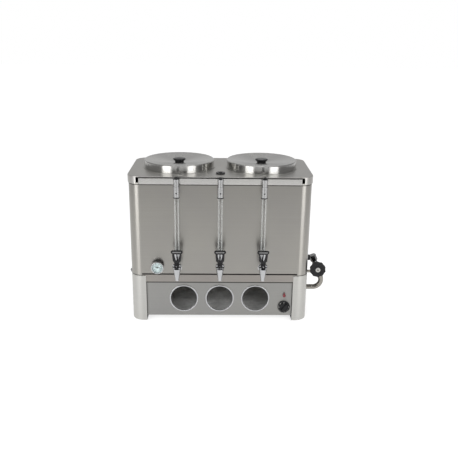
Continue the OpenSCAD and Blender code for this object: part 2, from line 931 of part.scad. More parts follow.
module tap_pins() {
    color(chrome)
        for (x = tap_xs)
            translate([x - ear_out - pin_head_t, tap_y, pivot_z])
                rotate([0, 90, 0])
                    union() {
                        cylinder(d = pin_d, h = 2 * (ear_out + pin_head_t));
                        cylinder(r = pin_head_r, h = pin_head_t);
                        translate([0, 0, 2 * ear_out + pin_head_t])
                            cylinder(r = pin_head_r, h = pin_head_t);
                    }
}

// The lever's open frame, drawn in the XZ plane from the pivot
module lever_frame() {
    outer = shoulder_half + shoulder_out;
    window_half_top = frame_half - window_side;
    difference() {
        polygon([
            [-hub_w / 2, frame_foot], [hub_w / 2, frame_foot],
            [shoulder_half, shoulder_up], [outer, shoulder_up + shoulder_rise],
            [frame_half, frame_bar], [-frame_half, frame_bar],
            [-outer, shoulder_up + shoulder_rise], [-shoulder_half, shoulder_up]]);
        polygon([
            [-window_foot_half, window_foot], [window_foot_half, window_foot],
            [window_half_top, frame_bar - window_top], [-window_half_top, frame_bar - window_top]]);
    }
}

module tap_lever(x) {
    bar_half = (grip_w - grip_d) / 2;
    color(black)
        translate([x, tap_y, pivot_z])
            difference() {
                union() {
                    translate([-hub_w / 2, 0, 0])
                        rotate([0, 90, 0])
                            cylinder(r = hub_r, h = hub_w);
                    translate([0, lever_t / 2, 0])
                        rotate([90, 0, 0])
                            linear_extrude(lever_t)
                                lever_frame();
                    translate([-bar_half, 0, grip_up])
                        rotate([0, 90, 0])
                            cylinder(d = grip_d, h = 2 * bar_half);
                    for (sx = [-1, 1])
                        translate([sx * bar_half, 0, grip_up])
                            sphere(d = grip_d);
                }
                translate([-hub_w, 0, 0])
                    rotate([0, 90, 0])
                        cylinder(r = pin_d / 2 + run_gap, h = 2 * hub_w);
                translate([-hub_slot / 2, -hub_r - cut, -hub_r - cut])
                    cube([hub_slot, 2 * (hub_r + cut), hub_r + cut + slot_up]);
            }
}

module tap_plunger(x) {
    color([0.3, 0.3, 0.3])
        union() {
            post(x, tap_y, seat_z + seat_gap, seat_z + seat_gap + seal_h, seal_d / 2);
            post(x, tap_y, seat_z + seat_gap, stem_top, stem_d / 2);
        }
}

// Points of the return spring's wire, and the tube swept along them
function spring_point(a, pitch) = [spring_r * cos(a), spring_r * sin(a), pitch * a / 360];
function ring_point(a, b, pitch) =
    let (out = spring_wire / 2 * cos(b), up = spring_wire / 2 * sin(b))
    spring_point(a, pitch) + [out * cos(a), out * sin(a), up];

module tap_spring(x) {
    rings = 8 * spring_turns;
    sides = 6;
    pitch = (spring_top - spring_z - spring_wire) / spring_turns;
    echo(coil_gap = norm(spring_point(360, pitch) - spring_point(0, pitch)) - spring_wire);
    points = [for (i = [0:rings], k = [0:sides - 1])
        ring_point(i * 360 / 8, k * 360 / sides, pitch)];
    skin = [for (i = [0:rings - 1], k = [0:sides - 1])
        let (a = i * sides + k, b = i * sides + (k + 1) % sides)
        each [[a, a + sides, b + sides], [a, b + sides, b]]];
    ends = [for (k = [1:sides - 2])
        each [[0, k, k + 1], [rings * sides, rings * sides + k + 1, rings * sides + k]]];
    color("silver")
        translate([x, tap_y, spring_z + spring_wire / 2])
            polyhedron(points, concat(skin, ends));
}

module tap_lock_nuts() {
    color("goldenrod")
        for (x = tap_xs)
            difference() {
                rear_bar(x, front_y + sheet, tap_z, shank_r + lock_nut_wall, nut_h, 6);
                rear_bar(x, front_y, tap_z, shank_r + hole_gap, nut_h + 2 * sheet + cut);
            }
}

// Sight gauges

module gauge_glass(x) {
    color([0.8, 0.88, 0.9, 0.4])
        difference() {
            post(x, gauge_y, glass_z, glass_top, glass_r);
            post(x, gauge_y, glass_z - cut, glass_top + cut, glass_r - glass_t);
        }
}

module gauge_gland_nuts() {
    color(chrome)
        for (x = tap_xs)
            difference() {
                post(x, gauge_y, boss_top, gland_top, glass_r + gland_wall, 12);
                post(x, gauge_y, boss_top - cut, gland_top + cut, glass_r + glass_gap);
            }
}

module gauge_holders() {
    color(chrome)
        for (x = tap_xs)
            difference() {
                union() {
                    post(x, gauge_y, holder_z, holder_neck_z, holder_d / 2);
                    post(x, gauge_y, holder_neck_z, deck_z - plug_h / 2, holder_neck_d / 2);
                    post(x, gauge_y, deck_z - plug_h - holder_head_h, deck_z - plug_h / 2, holder_head_r);
                    rear_bar(x, gauge_y, stub_z, stub_d / 2, gauge_reach + rail_lip);
                    rear_bar(x, front_y, stub_z, stub_nut_r, stub_nut_t, 6);
                }
                post(x, gauge_y, holder_z - cut, holder_z + holder_seat, glass_r + glass_gap);
                post(x, gauge_y, holder_z, deck_z, plug_d / 4);
                post(x, gauge_y, deck_z - plug_h, deck_z, plug_d / 2);
            }
}

module gauge_plugs() {
    color(black)
        for (x = tap_xs)
            union() {
                post(x, gauge_y, deck_z - plug_h, deck_z - plug_h / 2, plug_d / 2);
                post(x, gauge_y, deck_z - plug_h / 2, deck_z + plug_up, plug_d / 2 + plug_rim);
            }
}

// Thermometer

module thermometer_case() {
    color(chrome)
        difference() {
            union() {
                front_bar(thermo_x, thermo_back, thermo_z, thermo_r, thermo_t);
                front_bar(thermo_x, front_y, thermo_z, probe_d / 2 + probe_hex_wall, thermo_hex, 6);
                rear_bar(thermo_x, front_y, thermo_z, probe_d / 2, probe_l);
            }
            front_bar(thermo_x, thermo_back - dial_floor, thermo_z, thermo_r - bezel_w, thermo_t);
        }
}

module thermometer_dial() {
    color("white")
        difference() {
            front_bar(thermo_x, thermo_back - dial_floor, thermo_z, dial_r, dial_t);
            front_bar(thermo_x, thermo_back, thermo_z, pivot_r + hole_gap, thermo_t);
        }
}

module thermometer_pointer() {
    tip = dial_r - pointer_short;
    face = thermo_back - dial_floor - dial_t - pointer_gap;
    color(black)
        translate([thermo_x, face, thermo_z])
            rotate([0, pointer_rest, 0])
                rotate([90, 0, 0])
                    union() {
                        linear_extrude(pointer_t)
                            polygon([
                                [-pointer_foot_half, -pointer_tail], [pointer_foot_half, -pointer_tail],
                                [pointer_tip_half, tip], [-pointer_tip_half, tip]]);
                        translate([0, 0, -dial_t - pivot_l])
                            cylinder(r = pivot_r, h = dial_t + pivot_l + pointer_t);
                        cylinder(r = pointer_hub_r, h = pointer_t + pointer_gap);
                    }
}

module thermometer_lens() {
    color([0.85, 0.92, 0.95, 0.4])
        front_bar(thermo_x, thermo_face + lens_gap + lens_t, thermo_z, dial_r, lens_t);
}

// Controls

module thermostat_body() {
    color("dimgray")
        difference() {
            translate([control_x - thermostat_w / 2, panel_y + sheet, knob_z - thermostat_h / 2])
                cube([thermostat_w, thermostat_d, thermostat_h]);
            rear_bar(control_x, panel_y, knob_z, spindle_r + run_gap, thermostat_d / 2);
        }
}

module thermostat_knob() {
    skirt_y = panel_y - dial_gap;
    color(black)
        union() {
            front_bar(control_x, skirt_y, knob_z, dial_d / 2, dial_skirt);
            front_bar(control_x, skirt_y - dial_skirt, knob_z, dial_d / 2 - dial_step, dial_grip / 2);
            translate([control_x, skirt_y - dial_skirt - dial_grip / 2, knob_z])
                rotate([0, grip_turn, 0])
                    cube([grip_t, dial_grip, dial_d - grip_short], center = true);
            rear_bar(control_x, skirt_y, knob_z, spindle_r, sheet + spindle_l);
        }
}

module pilot_lamp() {
    neck = lamp_r * lamp_neck;
    neck_up = lamp_r * lamp_neck_up;
    color("darkred")
        union() {
            translate([control_x, panel_y, lamp_z])
                rotate([90, 0, 0])
                    linear_extrude(lamp_t)
                        union() {
                            circle(lamp_r);
                            polygon([[-neck, neck_up], [neck, neck_up], [0, lamp_r * lamp_point]]);
                        }
            rear_bar(control_x, panel_y, lamp_z, lamp_tail_r, lamp_tail_l);
        }
}

// Heating elements

function element_half(i) = element_l / 2 + i * element_step;

module heating_elements() {
    color("dimgray")
        for (i = [0, 1])
            heating_loop(element_half(i), element_z + i * element_step);
}

module heating_loop(half, z) {
    union() {
        for (sx = [-1, 1])
            post(sx * half, element_y, base_h - element_end, z - element_bend, element_r);
        bend([half - element_bend, element_y, z - element_bend], element_bend, element_r, 0, 90);
        bend([element_bend - half, element_y, z - element_bend], element_bend, element_r, 90, 90);
        translate([element_bend - half, element_y, z])
            rotate([0, 90, 0])
                cylinder(r = element_r, h = 2 * (half - element_bend));
    }
}

// Filling valve, drawn around its own middle and leaned as one

module valve_elbow() {
    color(chrome)
        difference() {
            union() {
                at_valve()
                    post(0, 0, tube_half, tube_half + elbow_l, nut_r, 6);
                translate([side_x - sheet - nut_h, valve_y, branch_z])
                    rotate([0, 90, 0])
                        cylinder(r = branch_r, h = valve_out);
                translate([side_x, valve_y, branch_z])
                    rotate([0, 90, 0])
                        cylinder(r = collar_r, h = collar_l, $fn = 6);
            }
            at_valve()
                post(0, 0, tube_half - cut, branch_up + flow_r, flow_r);
            at_valve()
                post(0, 0, 0, tube_half, nut_r + cut);
            translate([side_x - sheet - nut_h - cut, valve_y, branch_z])
                rotate([0, 90, 0])
                    cylinder(r = flow_r, h = valve_out - branch_up * sin(valve_lean) + nut_h + sheet + cut);
        }
}

module valve_washer() {
    color(black)
        difference() {
            translate([side_x + collar_l, valve_y, branch_z])
                rotate([0, 90, 0])
                    cylinder(r = washer_r, h = washer_t);
            translate([side_x + collar_l - cut, valve_y, branch_z])
                rotate([0, 90, 0])
                    cylinder(r = branch_r + hole_gap, h = washer_t + 2 * cut);
        }
}

module valve_body() {
    color(chrome)
        at_valve()
            difference() {
                union() {
                    post(0, 0, -tube_half, tube_half, tube_r);
                    post(0, 0, tube_half - nut_l, tube_half, nut_r, 6);
                    front_bar(0, barrel_r, 0, barrel_r, barrel_r + valve_bonnet_y);
                    front_bar(0, -valve_bonnet_y, 0, barrel_r - 1, valve_bonnet_l, 6);
                }
                post(0, 0, -tube_half - cut, tube_half + cut, flow_r);
                front_bar(0, piston_room, 0, piston_r + run_gap, piston_room + valve_bonnet_y);
                front_bar(0, 0, 0, valve_stem_r + run_gap, wheel_back);
            }
}

module valve_piston() {
    color("goldenrod")
        at_valve()
            difference() {
                front_bar(0, piston_back, 0, piston_r, piston_back + piston_front);
                front_bar(0, piston_back - cut, 0, valve_stem_r + run_gap, piston_back + piston_front);
            }
}

module valve_stem() {
    color(bright_steel)
        at_valve()
            union() {
                front_bar(0, -stem_in, 0, valve_stem_r, wheel_back + wheel_t - stem_in);
                front_bar(0, -wheel_back - wheel_t, 0, wheel_disc_r, wheel_disc_t);
            }
}

module valve_wheel() {
    color(black)
        at_valve()
            difference() {
                translate([0, -wheel_back, 0])
                    rotate([90, 0, 0])
                        linear_extrude(wheel_t)
                            union() {
                                circle(wheel_d / 2 - lobe_depth);
                                for (i = [0:wheel_lobes - 1])
                                    rotate(i * 360 / wheel_lobes)
                                        translate([wheel_d / 2 - lobe_r, 0])
                                            circle(lobe_r);
                            }
                front_bar(0, -wheel_back + cut, 0, valve_stem_r, wheel_t + 2 * cut);
            }
}

// Way of the pipe from the valve's lower nut down, into the base and out at the rear
module pipe_route(r, sleeve_r, over) {
    at_valve()
        post(0, 0, -pipe_lean_l - sleeve_lap, -tube_half - pipe_nut_l / 2, sleeve_r);
    bend([bend_x, valve_y, pipe_z + pipe_bend], pipe_bend, r, -90, 90 + valve_lean);
    translate([inlet_x + inlet_bend, valve_y, pipe_z])
        rotate([0, 90, 0])
            cylinder(r = r, h = bend_x - inlet_x - inlet_bend);
    translate([inlet_x + inlet_bend, valve_y + inlet_bend, pipe_z])
        rotate([0, 0, 180])
            rotate_extrude(angle = 90)
                translate([inlet_bend, 0])
                    circle(r);
    rear_bar(inlet_x, valve_y + inlet_bend, pipe_z, r, rear_panel_y + inlet_l + over - valve_y - inlet_bend);
}

module valve_pipe() {
    color(chrome)
        difference() {
            union() {
                pipe_route(pipe_r, pipe_r + sleeve_step, 0);
                at_valve()
                    post(0, 0, -tube_half - pipe_nut_l, -tube_half, nut_r, 6);
                rear_bar(inlet_x, rear_panel_y, pipe_z, inlet_d / 2, inlet_l);
            }
            pipe_route(pipe_bore_r, pipe_bore_r - sleeve_step, cut);
            at_valve()
                post(0, 0, -tube_half - pipe_nut_bore, -tube_half + cut, flow_r);
        }
}

module valve_stay() {
    foot_x = side_x - leg_t - leg_gap;
    clear_r = tube_r + hole_gap;
    color(steel)
        difference() {
            union() {
                at_valve()
                    post(0, 0, -stay_low, -stay_low + stay_grip_h, clear_r + stay_grip);
                translate([foot_x, valve_y - stay_t / 2, stay_z])
                    cube([valve_x - foot_x, stay_t, stay_h]);
                translate([foot_x, valve_y - stay_foot_w / 2, stay_z])
                    cube([stay_foot_t, stay_foot_w, stay_h]);
            }
            at_valve()
                post(0, 0, -tube_half, tube_half, clear_r);
            at_valve()
                post(0, 0, -tube_half - pipe_nut_l - cut, -tube_half + hole_gap, nut_r + hole_gap);
        }
}

module cable_gland() {
    panel_back = rear_panel_y - sheet;
    full_l = gland_in + sheet + gland_out;
    color(black)
        difference() {
            union() {
                rear_bar(gland_x, panel_back - gland_in, gland_z, gland_r, full_l);
                rear_bar(gland_x, rear_panel_y, gland_z, gland_hex_r, gland_head_t, 6);
                rear_bar(gland_x, panel_back - gland_nut_t, gland_z, gland_hex_r, gland_nut_t, 6);
            }
            rear_bar(gland_x, panel_back - gland_in - cut, gland_z, gland_bore / 2, full_l + 2 * cut);
        }
}

function drawn(name) = node == "all" || node == name;

if (drawn("body_shell")) body_shell();
if (drawn("tank_floor")) tank_floor();
if (drawn("top_cover")) top_cover();
if (drawn("gauge_rail")) gauge_rail();
if (drawn("base_frame")) base_frame();
if (drawn("front_panel")) front_panel();
if (drawn("rear_panel")) rear_panel();
if (drawn("side_panels")) side_panels();
if (drawn("base_pan")) base_pan();
for (i = [0:3]) if (drawn(str("leg_", leg_names[i]))) leg(i % 2 * 2 - 1, i < 2 ? -1 : 1);
if (drawn("foot_pads")) foot_pads();
if (drawn("vent_rims")) vent_rims();
for (i = [0, 1]) if (drawn(str("pot_", pair_names[i]))) pot(pot_xs[i]);
for (i = [0, 1]) if (drawn(str("lid_", pair_names[i]))) lid(pot_xs[i], i == 0 ? 76 : 90);
for (i = [0, 1]) if (drawn(str("lid_knob_", pair_names[i]))) lid_knob(pot_xs[i]);
if (drawn("fill_cap")) fill_cap();
for (i = [0:2]) if (drawn(str("tap_body_", side_names[i]))) tap_body(tap_xs[i]);
for (i = [0:2]) if (drawn(str("tap_lever_", side_names[i]))) tap_lever(tap_xs[i]);
for (i = [0:2]) if (drawn(str("tap_plunger_", side_names[i]))) tap_plunger(tap_xs[i]);
for (i = [0:2]) if (drawn(str("tap_spring_", side_names[i]))) tap_spring(tap_xs[i]);
if (drawn("tap_bonnets")) tap_bonnets();
if (drawn("tap_pins")) tap_pins();
if (drawn("tap_lock_nuts")) tap_lock_nuts();
for (i = [0:2]) if (drawn(str("gauge_glass_", side_names[i]))) gauge_glass(tap_xs[i]);
if (drawn("gauge_holders")) gauge_holders();
if (drawn("gauge_gland_nuts")) gauge_gland_nuts();
if (drawn("gauge_plugs")) gauge_plugs();
if (drawn("thermometer_case")) thermometer_case();
if (drawn("thermometer_dial")) thermometer_dial();
if (drawn("thermometer_pointer")) thermometer_pointer();
if (drawn("thermometer_lens")) thermometer_lens();
if (drawn("thermostat_body")) thermostat_body();
if (drawn("thermostat_knob")) thermostat_knob();
if (drawn("pilot_lamp")) pilot_lamp();
if (drawn("heating_elements")) heating_elements();
if (drawn("valve_elbow")) valve_elbow();
if (drawn("valve_washer")) valve_washer();
if (drawn("valve_body")) valve_body();
if (drawn("valve_piston")) valve_piston();
if (drawn("valve_stem")) valve_stem();
if (drawn("valve_wheel")) valve_wheel();
if (drawn("valve_pipe")) valve_pipe();
if (drawn("valve_stay")) valve_stay();
if (drawn("cable_gland")) cable_gland();
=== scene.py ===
import bpy
import bmesh
import json
from math import sin, cos, pi, radians
from mathutils import Matrix, Vector


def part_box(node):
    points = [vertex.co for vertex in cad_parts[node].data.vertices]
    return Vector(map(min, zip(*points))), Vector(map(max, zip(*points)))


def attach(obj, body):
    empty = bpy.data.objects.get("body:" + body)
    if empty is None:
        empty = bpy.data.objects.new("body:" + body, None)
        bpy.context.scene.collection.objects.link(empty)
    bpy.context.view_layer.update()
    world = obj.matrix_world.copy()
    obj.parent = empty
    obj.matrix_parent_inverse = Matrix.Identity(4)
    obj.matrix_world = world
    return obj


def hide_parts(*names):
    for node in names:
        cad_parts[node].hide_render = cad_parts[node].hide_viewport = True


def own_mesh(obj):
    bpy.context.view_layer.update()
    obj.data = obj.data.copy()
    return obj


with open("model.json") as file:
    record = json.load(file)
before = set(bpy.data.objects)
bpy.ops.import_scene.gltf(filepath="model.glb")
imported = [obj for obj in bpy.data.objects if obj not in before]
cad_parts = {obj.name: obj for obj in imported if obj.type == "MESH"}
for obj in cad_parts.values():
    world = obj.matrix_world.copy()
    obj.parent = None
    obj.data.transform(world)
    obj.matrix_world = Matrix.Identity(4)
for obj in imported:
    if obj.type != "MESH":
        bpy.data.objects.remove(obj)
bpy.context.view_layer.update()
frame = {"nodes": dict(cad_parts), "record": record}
cad = frame["nodes"]
record = frame["record"]
bodyOf = {n: b for b, names in record["behaviour"]["bodies"].items() for n in names}
slotOf = {p["node"]: p["material_slot"] for p in record["subparts"]}
scene = bpy.context.scene
tapX = {"left": -0.136, "center": 0.0, "right": 0.136}   # taps, sight glasses and lids
potY = 0.005
sides = tuple(tapX)
pairSides = ("left", "right")
print("frame loaded:", len(cad), "nodes")


# shader helpers

noiseLow, noiseHigh = 0.3, 0.7   # most values of a noise texture lie between these
bumpDepth = 0.0002


def newMaterial(name):
    mat = bpy.data.materials.new(name)
    mat.use_nodes = True
    tree = mat.node_tree
    return mat, tree, tree.nodes["Principled BSDF"]


def wired(tree, kind, links, settings):
    made = tree.nodes.new(kind)
    for key, value in settings.items():
        setattr(made, key, value)
    for socket, source in (links or {}).items():
        if hasattr(source, "is_output"):
            tree.links.new(source, made.inputs[socket])
        else:
            made.inputs[socket].default_value = source
    return made


def shade(tree, kind, links=None, **settings):
    return wired(tree, "ShaderNode" + kind, links, settings)


def surfacePoint(tree, scale=(1, 1, 1), shift=(0, 0, 0)):
    place = shade(tree, "TexCoord")
    spread = shade(tree, "Mapping", {"Vector": place.outputs["Object"], "Location": shift, "Scale": scale})
    return spread.outputs["Vector"]


def grain(tree, point, size, detail=4.0, rough=0.6):
    made = shade(tree, "TexNoise", {"Vector": point, "Scale": size, "Detail": detail, "Roughness": rough})
    return made.outputs["Fac"]


def ranged(tree, value, low, high):
    made = shade(tree, "MapRange", {"Value": value, "From Min": noiseLow, "From Max": noiseHigh,
                                    "To Min": low, "To Max": high})
    return made.outputs["Result"]


def tinted(tree, value, dark, light):
    made = shade(tree, "ValToRGB", {"Fac": value})
    made.color_ramp.elements[0].position = noiseLow
    made.color_ramp.elements[0].color = (*dark, 1)
    made.color_ramp.elements[1].position = noiseHigh
    made.color_ramp.elements[1].color = (*light, 1)
    return made.outputs["Color"]


def bumped(tree, skin, height, strength):
    made = shade(tree, "Bump", {"Height": height, "Strength": strength, "Distance": bumpDepth})
    tree.links.new(made.outputs["Normal"], skin.inputs["Normal"])


def toned(tone, factor):
    return tuple(min(1.0, c * factor) for c in tone)


def multiplied(tree, first, second):
    made = shade(tree, "MixRGB", {"Fac": 1.0, "Color1": first, "Color2": second}, blend_type="MULTIPLY")
    return made.outputs["Color"]


shadeLineCore = 0.6   # share of a painted shade line's half width that is fully dark


# painted shade in a joint or gap, as a thin darker line at one height or at one distance from the middle
def shadeLined(tree, colour, line):
    parts = shade(tree, "SeparateXYZ", {0: surfacePoint(tree)})
    reach = shade(tree, "Math", {0: parts.outputs[line["axis"]]}, operation="ABSOLUTE").outputs[0]
    away = shade(tree, "Math", {0: reach, 1: line["at"]}, operation="SUBTRACT").outputs[0]
    off = shade(tree, "Math", {0: away}, operation="ABSOLUTE").outputs[0]
    keep = shade(tree, "MapRange", {"Value": off, "From Min": line["half"] * shadeLineCore,
                                    "From Max": line["half"], "To Min": line["keep"], "To Max": 1.0})
    return multiplied(tree, colour, keep.outputs["Result"])


brushing = {"detail": 5.0, "harshness": 0.7, "roughSpread": 0.03, "turn": 0.25, "offAxis": (0.001, 0, 0)}
smudges = {"size": 7.0, "detail": 3.0, "harshness": 0.5, "dark": (0.95, 0.95, 0.96),
           "light": (1.0, 1.0, 0.99)}


# where the streaks of spun steel lie and which way they run, round an upright axis
def spunStreaks(tree, look):
    x, y = look["spunAt"]
    centred = surfacePoint(tree, shift=(-x, -y, 0))
    flat = shade(tree, "VectorMath", {0: centred, 1: (1, 1, 0)}, operation="MULTIPLY").outputs[0]
    reach = shade(tree, "VectorMath", {0: flat}, operation="LENGTH").outputs["Value"]
    height = shade(tree, "SeparateXYZ", {0: centred}).outputs["Z"]
    streakAt = shade(tree, "CombineXYZ", {"X": reach, "Y": 0.0, "Z": height}).outputs[0]
    along = shade(tree, "VectorMath", {0: (0, 0, 1), 1: flat}, operation="CROSS_PRODUCT").outputs[0]
    return streakAt, along


# the same for brushed sheet, whose streaks run level along the wall
def levelStreaks(tree, look):
    facing = shade(tree, "NewGeometry").outputs["Normal"]
    girth = shade(tree, "VectorMath", {0: (0, 0, 1), 1: facing}, operation="CROSS_PRODUCT").outputs[0]
    along = shade(tree, "VectorMath", {0: girth, 1: brushing["offAxis"]}, operation="ADD").outputs[0]
    return surfacePoint(tree, look["stretch"]), along


def steelSheet(name, look):
    mat, tree, skin = newMaterial(name)
    streakAt, along = (spunStreaks if "spunAt" in look else levelStreaks)(tree, look)
    streak = grain(tree, streakAt, look["grain"], brushing["detail"], brushing["harshness"])
    tone, contrast = look["tone"], look["streak"]
    colour = tinted(tree, streak, toned(tone, 1 - contrast), toned(tone, 1 + contrast))
    smudge = grain(tree, surfacePoint(tree), smudges["size"], smudges["detail"], smudges["harshness"])
    paint = multiplied(tree, colour, tinted(tree, smudge, smudges["dark"], smudges["light"]))
    # painted shade lines where shadow falls in joints and gaps
    for line in look.get("shadeLines", ()):
        paint = shadeLined(tree, paint, line)
    tree.links.new(paint, skin.inputs["Base Color"])
    spread = brushing["roughSpread"]
    rough = ranged(tree, streak, look["rough"] - spread, look["rough"] + spread)
    tree.links.new(rough, skin.inputs["Roughness"])
    tree.links.new(along, skin.inputs["Tangent"])
    skin.inputs["Metallic"].default_value = 1.0
    skin.inputs["Anisotropic"].default_value = look["pull"]
    skin.inputs["Anisotropic Rotation"].default_value = brushing["turn"]
    bumped(tree, skin, streak, look["bump"])
    return mat


plating = {"smear": 60.0, "dark": 0.94, "light": 1.03, "smooth": 0.7, "dull": 1.4, "ripple": 150.0,
           "rippleDetail": 2.0}


def polishedPlate(name, look):
    mat, tree, skin = newMaterial(name)
    smear = grain(tree, surfacePoint(tree), plating["smear"])
    tone = look["tone"]
    colour = tinted(tree, smear, toned(tone, plating["dark"]), toned(tone, plating["light"]))
    tree.links.new(colour, skin.inputs["Base Color"])
    rough = ranged(tree, smear, look["rough"] * plating["smooth"], look["rough"] * plating["dull"])
    tree.links.new(rough, skin.inputs["Roughness"])
    skin.inputs["Metallic"].default_value = 1.0
    ripple = grain(tree, surfacePoint(tree), plating["ripple"], plating["rippleDetail"])
    bumped(tree, skin, ripple, look["bump"])
    return mat


moulding = {"dark": 0.8, "light": 1.25, "smooth": -0.05, "dull": 0.06}


def moulded(name, look):
    mat, tree, skin = newMaterial(name)
    fine = grain(tree, surfacePoint(tree), look["grain"])
    tone = look["tone"]
    colour = tinted(tree, fine, toned(tone, moulding["dark"]), toned(tone, moulding["light"]))
    tree.links.new(colour, skin.inputs["Base Color"])
    rough = ranged(tree, fine, look["rough"] + moulding["smooth"], look["rough"] + moulding["dull"])
    tree.links.new(rough, skin.inputs["Roughness"])
    skin.inputs["Specular IOR Level"].default_value = look["gloss"]
    bumped(tree, skin, fine, look["bump"])
    return mat


waves = {"stretch": (1, 1, 0.2), "size": 40.0, "detail": 2.0, "harshness": 0.5, "dark": 0.97}


# clear glass: see-through face on; whiter and less clear where a wall is seen edge on, a painted highlight
# for the light the glass walls gather
def clearTube(name, look):
    mat, tree, skin = newMaterial(name)
    point = surfacePoint(tree, waves["stretch"])
    wave = grain(tree, point, waves["size"], waves["detail"], waves["harshness"])
    colour = tinted(tree, wave, toned(look["tone"], waves["dark"]), look["tone"])
    tree.links.new(colour, skin.inputs["Base Color"])
    slant = shade(tree, "LayerWeight", {"Blend": 0.5}).outputs["Facing"]
    rim = shade(tree, "MapRange", {"Value": slant, "From Min": look["rimFrom"], "From Max": look["rimTo"],
                                   "To Min": look["veil"], "To Max": look["rim"]})
    tree.links.new(rim.outputs["Result"], skin.inputs["Alpha"])
    skin.inputs["Roughness"].default_value = look["rough"]
    return mat


finishes = {
    "body_steel": {"tone": (0.345, 0.334, 0.312), "grain": 1.0, "stretch": (0.8, 0.8, 900), "streak": 0.06,
                   "rough": 0.31, "pull": 0.85, "bump": 0.06,
                   # painted shade: shadow lines below the gauge rail and along the lower edge of the body's
                   # corners above the legs
                   "shadeLines": ({"axis": "Z", "at": 0.4640, "half": 0.0018, "keep": 0.25},
                             {"axis": "Z", "at": 0.1606, "half": 0.0020, "keep": 0.30})},
    "deck_steel": {"tone": (0.48, 0.47, 0.45), "grain": 1.0, "stretch": (0.8, 700, 900), "streak": 0.05,
                   "rough": 0.36, "pull": 0.6, "bump": 0.1},
    # band: the same steel as the body, toned darker and browner as painted shade; its line is painted
    # shadow in the gap under the body
    "band_steel_shaded": {"tone": (0.32, 0.30, 0.28), "grain": 1.0, "stretch": (0.8, 0.8, 900), "streak": 0.05,
                   "rough": 0.36, "pull": 0.7, "bump": 0.1,
                   "shadeLines": ({"axis": "Z", "at": 0.1655, "half": 0.0035, "keep": 0.12},)},
    # painted shade: shadow lines under the band and along the legs' inner edges
    "panel_steel": {"tone": (0.315, 0.312, 0.302), "grain": 1.0, "stretch": (0.8, 0.8, 900), "streak": 0.05,
                    "rough": 0.36, "pull": 0.7, "bump": 0.1,
                    "shadeLines": ({"axis": "Z", "at": 0.1340, "half": 0.0032, "keep": 0.15},
                              {"axis": "X", "at": 0.2390, "half": 0.0014, "keep": 0.8})},
    "bright_steel": {"tone": (0.48, 0.475, 0.455), "grain": 1.0, "stretch": (0.8, 0.8, 700), "streak": 0.04,
                     "rough": 0.38, "pull": 0.4, "bump": 0.06},
    # painted shade: shadow line of the slit above the rail, along the rail's top
    "rail_steel": {"tone": (0.57, 0.562, 0.545), "grain": 1.0, "stretch": (0.8, 900, 900), "streak": 0.04,
                   "rough": 0.22, "pull": 0.5, "bump": 0.05,
                   "shadeLines": ({"axis": "Z", "at": 0.4855, "half": 0.0013, "keep": 0.2},)},
    **{f"lid_steel_{s}": {"tone": (0.52, 0.515, 0.50), "grain": 900.0, "streak": 0.07, "rough": 0.22,
                          "pull": 0.95, "bump": 0.05, "spunAt": (tapX[s], potY)} for s in pairSides},
    "chrome": {"tone": (0.46, 0.465, 0.475), "rough": 0.07, "bump": 0.01},
    "satin_chrome": {"tone": (0.33, 0.33, 0.33), "rough": 0.18, "bump": 0.02},
    # painted shade: the plated pipe and stay toned darker and browner than chrome
    "pipe_chrome_shaded": {"tone": (0.29, 0.275, 0.25), "rough": 0.24, "bump": 0.03},
    "black_plastic": {"tone": (0.018, 0.018, 0.019), "grain": 300.0, "rough": 0.24, "gloss": 0.2,
                      "bump": 0.02},
    # painted highlight: pale grey for the strip that stands in for the grip bar's highlight
    "grip_highlight_strip": {"tone": (0.20, 0.20, 0.20), "grain": 300.0, "rough": 0.35, "gloss": 0.4, "bump": 0.02},
    "dark_paint": {"tone": (0.02, 0.023, 0.026), "grain": 400.0, "rough": 0.4, "gloss": 0.4, "bump": 0.02},
    "dial_paint": {"tone": (0.68, 0.80, 0.80), "grain": 200.0, "rough": 0.45, "gloss": 0.4, "bump": 0.01},
    # painted highlight: the glass whitens where its walls are seen edge on
    "clear_glass": {"tone": (0.86, 0.88, 0.87), "rough": 0.05, "veil": 0.015, "rim": 0.18, "rimFrom": 0.08,
                    "rimTo": 0.28},
    "rubber": {"tone": (0.02, 0.02, 0.021), "grain": 250.0, "rough": 0.7, "gloss": 0.3, "bump": 0.15},
    "brass": {"tone": (0.62, 0.45, 0.18), "rough": 0.22, "bump": 0.02},
    "spring_steel": {"tone": (0.55, 0.55, 0.55), "rough": 0.25, "bump": 0.02},
    "red_lens": {"tone": (0.17, 0.016, 0.022), "grain": 200.0, "rough": 0.15, "gloss": 0.6, "bump": 0.02},
    "zinc_sheet": {"tone": (0.80, 0.80, 0.79), "grain": 40.0, "rough": 0.55, "gloss": 0.5, "bump": 0.02},
    "dark_steel": {"tone": (0.10, 0.095, 0.09), "grain": 150.0, "rough": 0.6, "gloss": 0.3, "bump": 0.2},
    "print_white": {"tone": (0.62, 0.62, 0.60), "grain": 300.0, "rough": 0.5, "gloss": 0.4, "bump": 0.01},
    "print_black": {"tone": (0.02, 0.02, 0.022), "grain": 300.0, "rough": 0.5, "gloss": 0.4, "bump": 0.01},
}


def finishMaker(look):
    if "pull" in look:
        return steelSheet
    if "veil" in look:
        return clearTube
    return moulded if "gloss" in look else polishedPlate


mats = {name: finishMaker(look)(name, look) for name, look in finishes.items()}
finishOf = {
    **slotOf,
    "top_cover": "deck_steel",
    "gauge_rail": "rail_steel",
    "base_frame": "band_steel_shaded",
    "front_panel": "panel_steel",
    "base_pan": "zinc_sheet",
    "gauge_holders": "satin_chrome",
    "valve_pipe": "pipe_chrome_shaded",
    "valve_stay": "pipe_chrome_shaded",
    "valve_body": "satin_chrome",
    "valve_elbow": "satin_chrome",
    **{f"lid_{s}": f"lid_steel_{s}" for s in pairSides},
}
for name, obj in cad.items():
    obj.data.materials.clear()
    obj.data.materials.append(mats[finishOf[name]])
print("materials:", len(mats))


# mesh helpers

